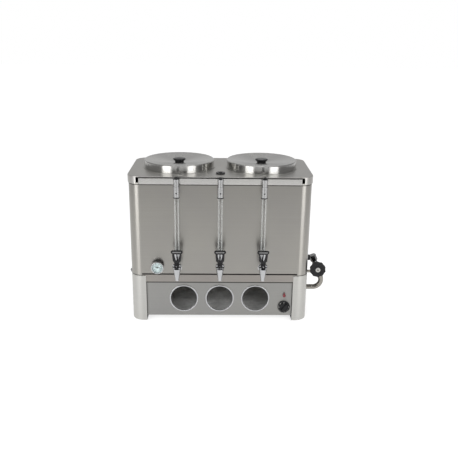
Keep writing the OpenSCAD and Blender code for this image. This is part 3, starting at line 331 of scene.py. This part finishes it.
tiny = 1e-6
flatAngle = radians(0.5)
sharpAngle = radians(32)


def newObject(name, mesh):
    obj = bpy.data.objects.new(name, mesh)
    scene.collection.objects.link(obj)
    return obj


def smoothed(mesh):
    mesh.shade_smooth()
    mesh.set_sharp_from_angle(angle=sharpAngle)


def bevelled(obj, width):
    edge = obj.modifiers.new("edge", "BEVEL")
    edge.width = width
    edge.segments = 2
    edge.limit_method = "ANGLE"
    return edge


def baked(obj):
    graph = bpy.context.evaluated_depsgraph_get()
    plain = bpy.data.meshes.new_from_object(obj.evaluated_get(graph), depsgraph=graph)
    old = obj.data
    obj.modifiers.clear()
    obj.data = plain
    if old.users == 0:
        bpy.data.meshes.remove(old)


def standsFor(obj, node):
    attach(obj, bodyOf[node])
    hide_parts(node)


# copy of a CAD node with its sharp edges eased
def eased(node, width):
    mesh = cad[node].data.copy()
    work = bmesh.new()
    work.from_mesh(mesh)
    bmesh.ops.remove_doubles(work, verts=work.verts, dist=tiny)
    bmesh.ops.dissolve_limit(work, angle_limit=flatAngle, verts=work.verts, edges=work.edges)
    work.to_mesh(mesh)
    work.free()
    obj = newObject(node + "_eased", mesh)
    smoothed(mesh)
    edge = bevelled(obj, width)
    edge.angle_limit = sharpAngle
    edge.harden_normals = True
    baked(obj)
    standsFor(obj, node)


def lathe(name, profile, centre, material, steps, axis="Z"):
    work = bmesh.new()
    rings = []
    for r, h in profile:
        if r < tiny:
            rings.append([work.verts.new((0, 0, h))])
        else:
            turns = [2 * pi * i / steps for i in range(steps)]
            rings.append([work.verts.new((r * cos(a), r * sin(a), h)) for a in turns])
    for a, b in zip(rings, rings[1:]):
        for i in range(steps):
            j = (i + 1) % steps
            quad = [a[i % len(a)], a[j % len(a)], b[j % len(b)], b[i % len(b)]]
            work.faces.new([v for k, v in enumerate(quad) if v not in quad[:k]])
    if axis == "-Y":
        bmesh.ops.transform(work, matrix=Matrix.Rotation(pi / 2, 4, "X"), verts=work.verts)
    if axis == "-X":
        bmesh.ops.transform(work, matrix=Matrix.Rotation(-pi / 2, 4, "Y"), verts=work.verts)
    bmesh.ops.translate(work, vec=Vector(centre), verts=work.verts)
    bmesh.ops.recalc_face_normals(work, faces=work.faces)
    mesh = bpy.data.meshes.new(name)
    work.to_mesh(mesh)
    work.free()
    smoothed(mesh)
    mesh.materials.append(material)
    return newObject(name, mesh)


# points of a path whose inner corners are rounded to the radii given as third values
def rounded(points, steps=6):
    path = []
    for i, p in enumerate(points):
        here = Vector(p[:2])
        radius = p[2] if len(p) > 2 else 0
        if radius == 0 or i in (0, len(points) - 1):
            path.append(tuple(here))
            continue
        back = (Vector(points[i - 1][:2]) - here).normalized()
        on = (Vector(points[i + 1][:2]) - here).normalized()
        half = back.angle(on) / 2
        reach = radius / max(tiny, sin(half) / cos(half))
        middle = here + (back + on).normalized() * (radius / sin(half))
        first = here + back * reach - middle
        last = here + on * reach - middle
        for k in range(steps + 1):
            spoke = first.lerp(last, k / steps).normalized() * radius
            path.append(tuple(middle + spoke))
    return path


# geometry node trees

def newTree(name, inputs):
    tree = bpy.data.node_groups.new(name, "GeometryNodeTree")
    for label, kind in inputs.items():
        tree.interface.new_socket(name=label, in_out="INPUT", socket_type="NodeSocket" + kind)
    tree.interface.new_socket(name="Geometry", in_out="OUTPUT", socket_type="NodeSocketGeometry")
    return tree, tree.nodes.new("NodeGroupInput").outputs


def grow(tree, kind, links=None, **settings):
    return wired(tree, "GeometryNode" + kind, links, settings).outputs[0]


def finishTree(tree, shape, given):
    put = {"Geometry": shape, "Translation": given["Place"], "Rotation": given["Turn"]}
    placed = grow(tree, "Transform", put)
    real = grow(tree, "RealizeInstances", {"Geometry": placed})
    painted = grow(tree, "SetMaterial", {"Geometry": real, "Material": given["Finish"]})
    tree.links.new(painted, tree.nodes.new("NodeGroupOutput").inputs["Geometry"])
    return tree


def times(tree, value, factor):
    return shade(tree, "Math", {0: value, 1: factor}, operation="MULTIPLY").outputs[0]


def joined(tree, x=0.0, y=0.0, z=0.0):
    return shade(tree, "CombineXYZ", {"X": x, "Y": y, "Z": z}).outputs[0]


placing = {"Place": "Vector", "Turn": "Vector", "Finish": "Material"}


# slotted screw heads on a grid of points
def screwTree():
    look = {"corners": 28, "crown": 0.72, "slotLength": 2.6, "slotWidth": 0.3, "turn": 3.14, "seed": 5}
    sizes = {"Columns": "Int", "Rows": "Int", "Width": "Float", "Height": "Float", "Radius": "Float",
             "Rise": "Float"}
    tree, given = newTree("screwHeads", {**sizes, **placing})
    spots = grow(tree, "MeshGrid", {"Size X": given["Width"], "Size Y": given["Height"],
                                    "Vertices X": given["Columns"], "Vertices Y": given["Rows"]})
    topRadius = times(tree, given["Radius"], look["crown"])
    crown = grow(tree, "MeshCone", {"Vertices": look["corners"], "Radius Top": topRadius,
                                    "Radius Bottom": given["Radius"], "Depth": given["Rise"]})
    bar = joined(tree, times(tree, given["Radius"], look["slotLength"]),
                 times(tree, given["Radius"], look["slotWidth"]), given["Rise"])
    cut = grow(tree, "Transform", {"Geometry": grow(tree, "MeshCube", {"Size": bar}),
                                   "Translation": joined(tree, z=given["Rise"])})
    head = tree.nodes.new("GeometryNodeMeshBoolean")
    head.operation = "DIFFERENCE"
    tree.links.new(crown, head.inputs[0])
    tree.links.new(cut, head.inputs[1])
    turning = {"Min": 0.0, "Max": look["turn"], "Seed": look["seed"]}
    slotTurn = wired(tree, "FunctionNodeRandomValue", turning, {"data_type": "FLOAT"})
    spread = grow(tree, "InstanceOnPoints", {"Points": spots, "Instance": head.outputs[0],
                                             "Rotation": joined(tree, z=slotTurn.outputs["Value"])})
    return finishTree(tree, spread, given)


# bars spread round a dial, clockwise from the angle From
def markTree():
    sizes = {"Count": "Int", "From": "Float", "Step": "Float", "Reach": "Float", "Length": "Float",
             "Width": "Float", "Rise": "Float"}
    tree, given = newTree("dialMarks", {**sizes, **placing})
    spots = grow(tree, "MeshLine", {"Count": given["Count"], "Offset": (0, 0, 0)})
    bar = grow(tree, "MeshCube", {"Size": joined(tree, given["Width"], given["Length"], given["Rise"])})
    out = grow(tree, "Transform", {"Geometry": bar, "Translation": joined(tree, y=given["Reach"])})
    turned = times(tree, grow(tree, "InputIndex"), given["Step"])
    angle = shade(tree, "Math", {0: turned, 1: given["From"]}, operation="ADD").outputs[0]
    spread = grow(tree, "InstanceOnPoints", {"Points": spots, "Instance": out,
                                             "Rotation": joined(tree, z=times(tree, angle, -1.0))})
    return finishTree(tree, spread, given)


# round wire wound into an upright coil
def coilTree():
    look = {"stepsPerTurn": 28, "wireCorners": 10}
    sizes = {"Turns": "Float", "Radius": "Float", "Height": "Float", "Wire": "Float"}
    tree, given = newTree("wireCoil", {**sizes, **placing})
    path = grow(tree, "CurveSpiral", {"Resolution": look["stepsPerTurn"], "Rotations": given["Turns"],
                                      "Height": given["Height"], "Start Radius": given["Radius"],
                                      "End Radius": given["Radius"]})
    wireRadius = times(tree, given["Wire"], 0.5)
    section = grow(tree, "CurvePrimitiveCircle", {"Resolution": look["wireCorners"], "Radius": wireRadius})
    tube = grow(tree, "CurveToMesh", {"Curve": path, "Profile Curve": section, "Fill Caps": True})
    return finishTree(tree, tube, given)


trees = {"screws": screwTree(), "marks": markTree(), "coil": coilTree()}


def grown(name, kind, finish, body, slot, **values):
    tree = trees[kind]
    obj = newObject(name, bpy.data.meshes.new(name))
    maker = obj.modifiers.new("maker", "NODES")
    maker.node_group = tree
    values["Finish"] = mats[finish]
    for item in tree.interface.items_tree:
        if item.in_out == "INPUT" and item.name in values:
            maker[item.identifier] = values[item.name]
    baked(obj)
    smoothed(obj.data)
    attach(obj, body)
    return obj


facingFront = (pi / 2, 0.0, 0.0)   # a tree's own Z turned to -Y
facingBack = (pi / 2, 0.0, pi)
facingLeft = (pi / 2, 0.0, -pi / 2)
facingRight = (pi / 2, 0.0, pi / 2)
print("geometry node trees:", len(trees))


# studio: camera, floor, lights

view = {"eye": (-0.01099, -1.99765, 0.92761), "aim": (0.03105, 0.0, 0.27337), "roll": 0.73, "lens": 48.2,
        "sensor": 36.0, "near": 0.05}
eye, aim = Vector(view["eye"]), Vector(view["aim"])
forward = (aim - eye).normalized()
sideways = forward.cross(Vector((0, 0, 1))).normalized()
upright = sideways.cross(forward)
tilt = radians(view["roll"])
across = sideways * cos(tilt) + upright * sin(tilt)
above = upright * cos(tilt) - sideways * sin(tilt)
camera = bpy.data.objects.new("camera", bpy.data.cameras.new("camera"))
camera.data.lens = view["lens"]
camera.data.sensor_width = view["sensor"]
camera.data.clip_start = view["near"]
camera.matrix_world = Matrix((across, above, -forward)).transposed().to_4x4()
camera.matrix_world.translation = eye
scene.collection.objects.link(camera)
scene.camera = camera
scene.view_settings.view_transform = "Standard"

studio = {"floorReach": 14.0, "floorZ": -0.0004, "floorTone": (0.55, 0.55, 0.55), "floorLift": 0.7,
          "floorGrain": 3.0, "floorFade": 0.99, "floorRough": 0.9, "floorGloss": 0.1, "skyLight": 0.55,
          "clothGrain": 4.0, "clothFade": 0.9}


# 1 for rays that show a background: the camera's own, and those mirrored or passed on by metal and glass
def backgroundRays(tree):
    ray = shade(tree, "LightPath").outputs
    seen = shade(tree, "Math", {0: ray["Is Camera Ray"], 1: ray["Is Glossy Ray"]}, operation="MAXIMUM")
    passed = shade(tree, "Math", {0: seen.outputs[0], 1: ray["Is Transmission Ray"]}, operation="MAXIMUM")
    return passed.outputs[0]


def paleFloor():
    mat, tree, skin = newMaterial("floor")
    speckle = grain(tree, surfacePoint(tree), studio["floorGrain"])
    tone = studio["floorTone"]
    tree.links.new(tinted(tree, speckle, toned(tone, studio["floorFade"]), tone), skin.inputs["Base Color"])
    skin.inputs["Roughness"].default_value = studio["floorRough"]
    skin.inputs["Specular IOR Level"].default_value = studio["floorGloss"]
    skin.inputs["Emission Color"].default_value = (1, 1, 1, 1)
    lift = shade(tree, "Math", {0: backgroundRays(tree), 1: studio["floorLift"]}, operation="MULTIPLY")
    tree.links.new(lift.outputs[0], skin.inputs["Emission Strength"])
    half = studio["floorReach"]
    mesh = bpy.data.meshes.new("floor")
    corners = ((-half, -half), (half, -half), (half, half), (-half, half))
    mesh.from_pydata([(x, y, studio["floorZ"]) for x, y in corners], [], [(0, 1, 2, 3)])
    mesh.materials.append(mat)
    newObject("floor", mesh)


def whiteSky():
    world = bpy.data.worlds.new("studio")
    scene.world = world
    world.use_nodes = True
    sky = world.node_tree
    strength = shade(sky, "MapRange", {"Value": backgroundRays(sky), "To Min": studio["skyLight"],
                                       "To Max": 1.0})
    back = sky.nodes["Background"]
    back.inputs["Color"].default_value = (1, 1, 1, 1)
    sky.links.new(strength.outputs["Result"], back.inputs["Strength"])


def softBox(name, look):
    lamp = bpy.data.lights.new(name, "AREA")
    lamp.shape = "RECTANGLE"
    lamp.size, lamp.size_y = look["size"]
    lamp.energy = look["power"]
    obj = bpy.data.objects.new(name, lamp)
    obj.location = look["place"]
    aimed = Vector(look["target"]) - Vector(look["place"])
    obj.rotation_euler = aimed.to_track_quat("-Z", "Y").to_euler()
    obj.visible_camera = False
    scene.collection.objects.link(obj)


# grey wall of the studio that only reflections see
def reflectedCard(name, corners, level):
    mesh = bpy.data.meshes.new(name)
    mesh.from_pydata(corners, [], [(0, 1, 2, 3)])
    mat, tree, skin = newMaterial(name)
    cloth = grain(tree, surfacePoint(tree), studio["clothGrain"])
    grey = (level, level, level)
    glow = tinted(tree, cloth, toned(grey, studio["clothFade"]), grey)
    tree.links.new(glow, skin.inputs["Emission Color"])
    skin.inputs["Emission Strength"].default_value = 1.0
    skin.inputs["Base Color"].default_value = (0, 0, 0, 1)
    skin.inputs["Specular IOR Level"].default_value = 0.0
    mesh.materials.append(mat)
    obj = newObject(name, mesh)
    obj.visible_camera = False
    obj.visible_diffuse = False
    obj.visible_transmission = False
    obj.visible_shadow = False


def wallCorners(x0, y0, x1, y1, top):
    return [(x0, y0, 0.0), (x1, y1, 0.0), (x1, y1, top), (x0, y0, top)]


softBoxes = {
    "leftBox": {"place": (-1.5, -1.78, 0.95), "target": (0, 0, 0.35), "size": (1.1, 1.9), "power": 20},
    "rightBox": {"place": (1.5, -1.78, 0.95), "target": (0, 0, 0.35), "size": (1.1, 1.9), "power": 18},
    "topBox": {"place": (0, 0.3, 2.4), "target": (0, 0, 0.3), "size": (1.8, 1.2), "power": 9},
    "frontStrip": {"place": (0, -2.3, 1.75), "target": (0, 0, 0.3), "size": (1.2, 0.12), "power": 4},
}
wallAt, wallTop, frontHalf, sideFront = 2.6, 2.7, 1.2, -1.8
cards = {
    "frontWall": (wallCorners(-frontHalf, -wallAt, frontHalf, -wallAt, wallTop), 0.10),
    "cameraStand": (wallCorners(-0.07, -2.5, 0.05, -2.5, 1.5), 0.01),
    "leftWall": (wallCorners(-wallAt, wallAt, -wallAt, sideFront, wallTop), 0.32),
    "rightWall": (wallCorners(wallAt, sideFront, wallAt, wallAt, wallTop), 0.32),
    "backWall": (wallCorners(wallAt, wallAt, -wallAt, wallAt, wallTop), 0.62),
    "ceiling": ([(x * wallAt, y * wallAt, wallTop) for x, y in ((-1, -1), (-1, 1), (1, 1), (1, -1))], 0.35),
}
paleFloor()
whiteSky()
for name, look in softBoxes.items():
    softBox(name, look)
for name, (corners, level) in cards.items():
    reflectedCard(name, corners, level)
print("studio ready")


# eased copies of the sheet-metal and turned pieces
easing = {
    "body_shell": 0.0006, "top_cover": 0.0009, "gauge_rail": 0.0006, "base_frame": 0.0006,
    "front_panel": 0.0004, "rear_panel": 0.0004, "vent_rims": 0.0007, "tap_bonnets": 0.0006,
    "tap_pins": 0.0005, "gauge_holders": 0.0006, "gauge_gland_nuts": 0.0006, "gauge_plugs": 0.0006,
    "thermometer_case": 0.0007, "thermostat_knob": 0.0007, "pilot_lamp": 0.001, "valve_elbow": 0.0007,
    "valve_body": 0.0007, "valve_stem": 0.0005, "valve_wheel": 0.0015, "valve_pipe": 0.0005,
    "valve_stay": 0.0006, "cable_gland": 0.0006, "foot_pads": 0.0008, "fill_cap": 0.0008,
    **{f"leg_{end}_{s}": 0.0007 for end in ("front", "rear") for s in pairSides},
    **{f"lid_{s}": 0.0012 for s in pairSides},
    **{f"lid_knob_{s}": 0.001 for s in pairSides},
    **{f"pot_{s}": 0.0004 for s in pairSides},
    **{f"tap_body_{s}": 0.0005 for s in sides},
    **{f"tap_lever_{s}": 0.0012 for s in sides},
}
for name, width in easing.items():
    eased(name, width)
print("eased pieces:", len(easing))


# sight glasses as turned tubes with fire-polished ends
def sightGlass(side):
    node = f"gauge_glass_{side}"
    low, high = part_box(node)
    middle = (low + high) / 2
    outer = (high.x - low.x) / 2
    look = {"wall": 0.002, "end": 0.0008}
    inner = outer - look["wall"]
    half = (high.z - low.z) / 2
    profile = rounded([(inner, 0), (inner, half, look["end"]), (outer, half, look["end"]), (outer, 0)],
                      steps=4)
    lower = [(r, -h) for r, h in reversed(profile)]
    tube = lathe(f"sight_glass_{side}", profile + lower[1:], middle, mats["clear_glass"], steps=64)
    tube.visible_shadow = False
    standsFor(tube, node)


for side in sides:
    sightGlass(side)
print("sight glasses:", len(sides))


# return springs as round wire
def returnSpring(side):
    node = f"tap_spring_{side}"
    low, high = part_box(node)
    look = {"turns": 5.0, "wire": 0.001, "lift": 0.0035}
    tall = high.z - low.z - look["wire"]
    place = ((low.x + high.x) / 2, (low.y + high.y) / 2, low.z + look["wire"] / 2)
    radius = (high.x - low.x - look["wire"]) / 2
    obj = grown(f"return_spring_{side}", "coil", "spring_steel", bodyOf[node], slotOf[node],
                Turns=look["turns"], Radius=radius, Height=tall, Wire=look["wire"], Place=place)
    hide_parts(node)
    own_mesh(obj)


for side in sides:
    returnSpring(side)
print("return springs:", len(sides))


# printed words round a dial, upright or turned with the dial
def dialWords(name, look, body, finish):
    work = bmesh.new()
    for i, word in enumerate(look["words"]):
        face = bpy.data.curves.new(name, "FONT")
        face.body = word
        face.align_x = "CENTER"
        face.align_y = "CENTER"
        face.size = look["size"]
        face.extrude = look["rise"]
        written = newObject(name, face)
        graph = bpy.context.evaluated_depsgraph_get()
        mesh = bpy.data.meshes.new_from_object(written.evaluated_get(graph), depsgraph=graph)
        bpy.data.objects.remove(written)
        angle = radians(look["from"] + look["step"] * i)
        spin = Matrix.Rotation(-angle, 4, "Z") if look["turning"] else Matrix.Identity(4)
        spot = Matrix.Translation((look["reach"] * sin(angle), look["reach"] * cos(angle), 0))
        mesh.transform(Matrix.Translation(look["place"]) @ Matrix.Rotation(pi / 2, 4, "X") @ spot @ spin)
        work.from_mesh(mesh)
        bpy.data.meshes.remove(mesh)
    mesh = bpy.data.meshes.new(name)
    work.to_mesh(mesh)
    work.free()
    mesh.materials.append(mats[finish])
    obj = newObject(name, mesh)
    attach(obj, body)


# slightly domed glass over the thermometer's dial
def dialGlass():
    low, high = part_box("thermometer_lens")
    look = {"dome": 0.0006, "edge": 0.0004, "slopeStep": 15, "slopeCount": 6}
    radius = (high.x - low.x) / 2
    thick = high.y - low.y
    slopes = [radians(look["slopeStep"] * i) for i in range(look["slopeCount"])]
    front = [(radius * sin(a), thick - look["dome"] * sin(a) ** 2) for a in slopes]
    profile = front + rounded([(radius, thick - look["dome"]), (radius, 0, look["edge"]), (0, 0)], steps=4)
    glass = lathe("thermometer_glass", profile, ((low.x + high.x) / 2, high.y, (low.z + high.z) / 2),
                  mats["clear_glass"], steps=72, axis="-Y")
    glass.visible_shadow = False
    standsFor(glass, "thermometer_lens")


dialGlass()


def thermometerScale():
    low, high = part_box("thermometer_dial")
    look = {"lift": 0.0001, "from": -134, "span": 268, "rise": 0.0001}
    rows = {"long": {"Count": 11, "Reach": 0.0150, "Length": 0.0030, "Width": 0.0007},
            "short": {"Count": 51, "Reach": 0.0158, "Length": 0.0014, "Width": 0.0003}}
    words = ("0", "20", "40", "60", "80", "100")
    face = ((low.x + high.x) / 2, low.y - look["lift"], (low.z + high.z) / 2)
    for kind, row in rows.items():
        step = radians(look["span"] / (row["Count"] - 1))
        grown(f"thermometer_{kind}_marks", "marks", "print_black", "urn", "dark_paint", Place=face,
              Turn=facingFront, From=radians(look["from"]), Step=step, Rise=look["rise"], **row)
    numbers = {"words": words, "size": 0.0042, "rise": 0.00005, "from": look["from"],
               "step": look["span"] / (len(words) - 1), "reach": 0.0112, "turning": False, "place": face}
    dialWords("thermometer_numbers", numbers, "urn", "print_black")


def thermostatScale():
    low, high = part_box("thermostat_knob")
    look = {"skirtFaceY": -0.1404, "from": -270, "span": 270, "rise": 0.0001}
    row = {"Count": 28, "Reach": 0.0188, "Length": 0.0018, "Width": 0.0004}
    words = ("90", "80", "70", "60", "50", "40", "30")
    face = ((low.x + high.x) / 2, look["skirtFaceY"], (low.z + high.z) / 2)
    step = radians(look["span"] / (row["Count"] - 1))
    grown("thermostat_marks", "marks", "print_white", "thermostat_dial", "dial_paint", Place=face,
          Turn=facingFront, From=radians(look["from"]), Step=step, Rise=look["rise"], **row)
    numbers = {"words": words, "size": 0.0042, "rise": 0.00005, "from": look["from"],
               "step": look["span"] / (len(words) - 1), "reach": 0.0158, "turning": True, "place": face}
    dialWords("thermostat_numbers", numbers, "thermostat_dial", "print_white")


thermometerScale()
thermostatScale()
print("dial scales ready")


# sleeve ring and set screw on each top holder of a sight glass
def holderTrim(side, x):
    low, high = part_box("gauge_holders")
    look = {"axisY": -0.165, "holderRadius": 0.0103, "screwZ": 0.444, "screwRadius": 0.0024,
            "screwRise": 0.0016, "screwIn": 0.0003, "ringHeight": 0.003, "ringOver": 0.0004,
            "ringWall": 0.002, "ringEdge": 0.0005, "ringDrop": 0.0005}
    front = look["axisY"] - look["holderRadius"] + look["screwIn"]
    grown(f"holder_screw_{side}", "screws", "black_plastic", "urn", "black_plastic", Columns=1, Rows=1,
          Width=0.0, Height=0.0, Radius=look["screwRadius"], Rise=look["screwRise"], Turn=facingFront,
          Place=(x, front, look["screwZ"]))
    outer, edge, tall = look["holderRadius"] + look["ringOver"], look["ringEdge"], look["ringHeight"]
    inner = outer - look["ringWall"]
    band = rounded([(inner, 0), (outer, 0, edge), (outer, tall, edge), (inner, tall)], steps=4)
    place = (x, look["axisY"], low.z - look["ringDrop"])
    ring = lathe(f"holder_ring_{side}", band + [band[0]], place, mats["rubber"], steps=64)
    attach(ring, "urn")


for side, x in tapX.items():
    holderTrim(side, x)
print("holder trim ready")


# painted highlight: a pale pill-shaped strip set in the front of each lever's grip bar, where the glossy
# bar shows its highlight
def gripHighlightStrip(side):
    low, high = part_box(f"tap_lever_{side}")
    look = {"length": 0.027, "height": 0.0036, "depth": 0.0012, "proud": 0.0004, "barRadius": 0.0058,
            "lean": 22, "edge": 0.0003, "arcStep": 15}
    half, radius = look["length"] / 2 - look["height"] / 2, look["height"] / 2
    turns = [radians(a) for a in range(-90, 91, look["arcStep"])]
    outline = [(half + radius * cos(a), radius * sin(a)) for a in turns]
    outline += [(-half - radius * cos(a), -radius * sin(a)) for a in turns]
    work = bmesh.new()
    face = look["barRadius"] + look["proud"]
    front = [work.verts.new((x, -face, z)) for x, z in outline]
    back = [work.verts.new((x, look["depth"] - face, z)) for x, z in outline]
    work.faces.new(front)
    work.faces.new(list(reversed(back)))
    for i in range(len(outline)):
        j = (i + 1) % len(outline)
        work.faces.new((front[i], back[i], back[j], front[j]))
    bmesh.ops.remove_doubles(work, verts=work.verts, dist=tiny)
    place = Vector(((low.x + high.x) / 2, low.y + look["barRadius"], high.z - look["barRadius"]))
    lean = Matrix.Rotation(radians(-look["lean"]), 4, "X")
    bmesh.ops.transform(work, matrix=Matrix.Translation(place) @ lean, verts=work.verts)
    bmesh.ops.recalc_face_normals(work, faces=work.faces)
    mesh = bpy.data.meshes.new(f"grip_highlight_strip_{side}")
    work.to_mesh(mesh)
    work.free()
    mesh.materials.append(mats["grip_highlight_strip"])
    obj = newObject(f"grip_highlight_strip_{side}", mesh)
    bevelled(obj, look["edge"])
    baked(obj)
    smoothed(obj.data)
    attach(obj, f"lever_{side}")


for side in sides:
    gripHighlightStrip(side)
print("grip inlays:", len(sides))


# screws that hold the rear and side panels
def panelScrews():
    screw = {"Rows": 2, "Height": 0.086, "Radius": 0.0036, "Rise": 0.0018}
    rearRow = {"Columns": 4, "Width": 0.44}
    sideRow = {"Columns": 2, "Width": 0.16}
    sunk = 0.0002
    low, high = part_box("rear_panel")
    grown("rear_panel_screws", "screws", "chrome", "urn", "chrome", Turn=facingBack,
          Place=(0.0, high.y - sunk, (low.z + high.z) / 2), **rearRow, **screw)
    low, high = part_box("side_panels")
    for side, turn, x in (("left", facingLeft, low.x + sunk), ("right", facingRight, high.x - sunk)):
        grown(f"side_panel_screws_{side}", "screws", "chrome", "urn", "chrome", Turn=turn,
              Place=(x, 0.0, (low.z + high.z) / 2), **sideRow, **screw)


panelScrews()


# blind plug low on the left wall
def wallPlug():
    look = {"radius": 0.0065, "crown": 0.0047, "rise": 0.0042, "foot": 0.001, "crownEdge": 0.0015,
            "footEdge": 0.0006, "place": (-0.2896, -0.111, 0.166)}
    dome = rounded([(0, look["rise"]), (look["crown"], look["rise"], look["crownEdge"]),
                    (look["radius"], look["foot"], look["footEdge"]), (look["radius"], 0)], steps=5)
    plug = lathe("wall_plug", dome + [(0, 0)], look["place"], mats["chrome"], steps=40, axis="-X")
    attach(plug, "urn")


wallPlug()


# screw in the hand wheel's pale disc
def wheelScrew():
    low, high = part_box("valve_stem")
    look = {"radius": 0.0028, "rise": 0.0012, "sunk": 0.0002}
    spot = ((low.x + high.x) / 2, low.y + look["sunk"], (low.z + high.z) / 2)
    grown("wheel_screw", "screws", "dark_steel", "hand_wheel", "dark_steel", Columns=1, Rows=1, Width=0.0,
          Height=0.0, Radius=look["radius"], Rise=look["rise"], Turn=facingFront, Place=spot)


# raised rings on the hand wheel's face
def wheelRibs():
    low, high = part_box("valve_wheel")
    look = {"radii": (0.0120, 0.0175), "width": 0.0026, "rise": 0.0014, "edge": 0.0005, "sunk": 0.0004}
    middle = ((low.x + high.x) / 2, low.y + look["sunk"], (low.z + high.z) / 2)
    for i, radius in enumerate(look["radii"]):
        inner, outer = radius - look["width"] / 2, radius + look["width"] / 2
        top, edge = look["rise"], look["edge"]
        crest = rounded([(inner, 0), (inner, top, edge), (outer, top, edge), (outer, 0)])
        rib = lathe(f"wheel_rib_{i}", crest + [crest[0]], middle, mats["black_plastic"], steps=72,
                    axis="-Y")
        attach(rib, "hand_wheel")


wheelScrew()
wheelRibs()
print("screws and plug ready")
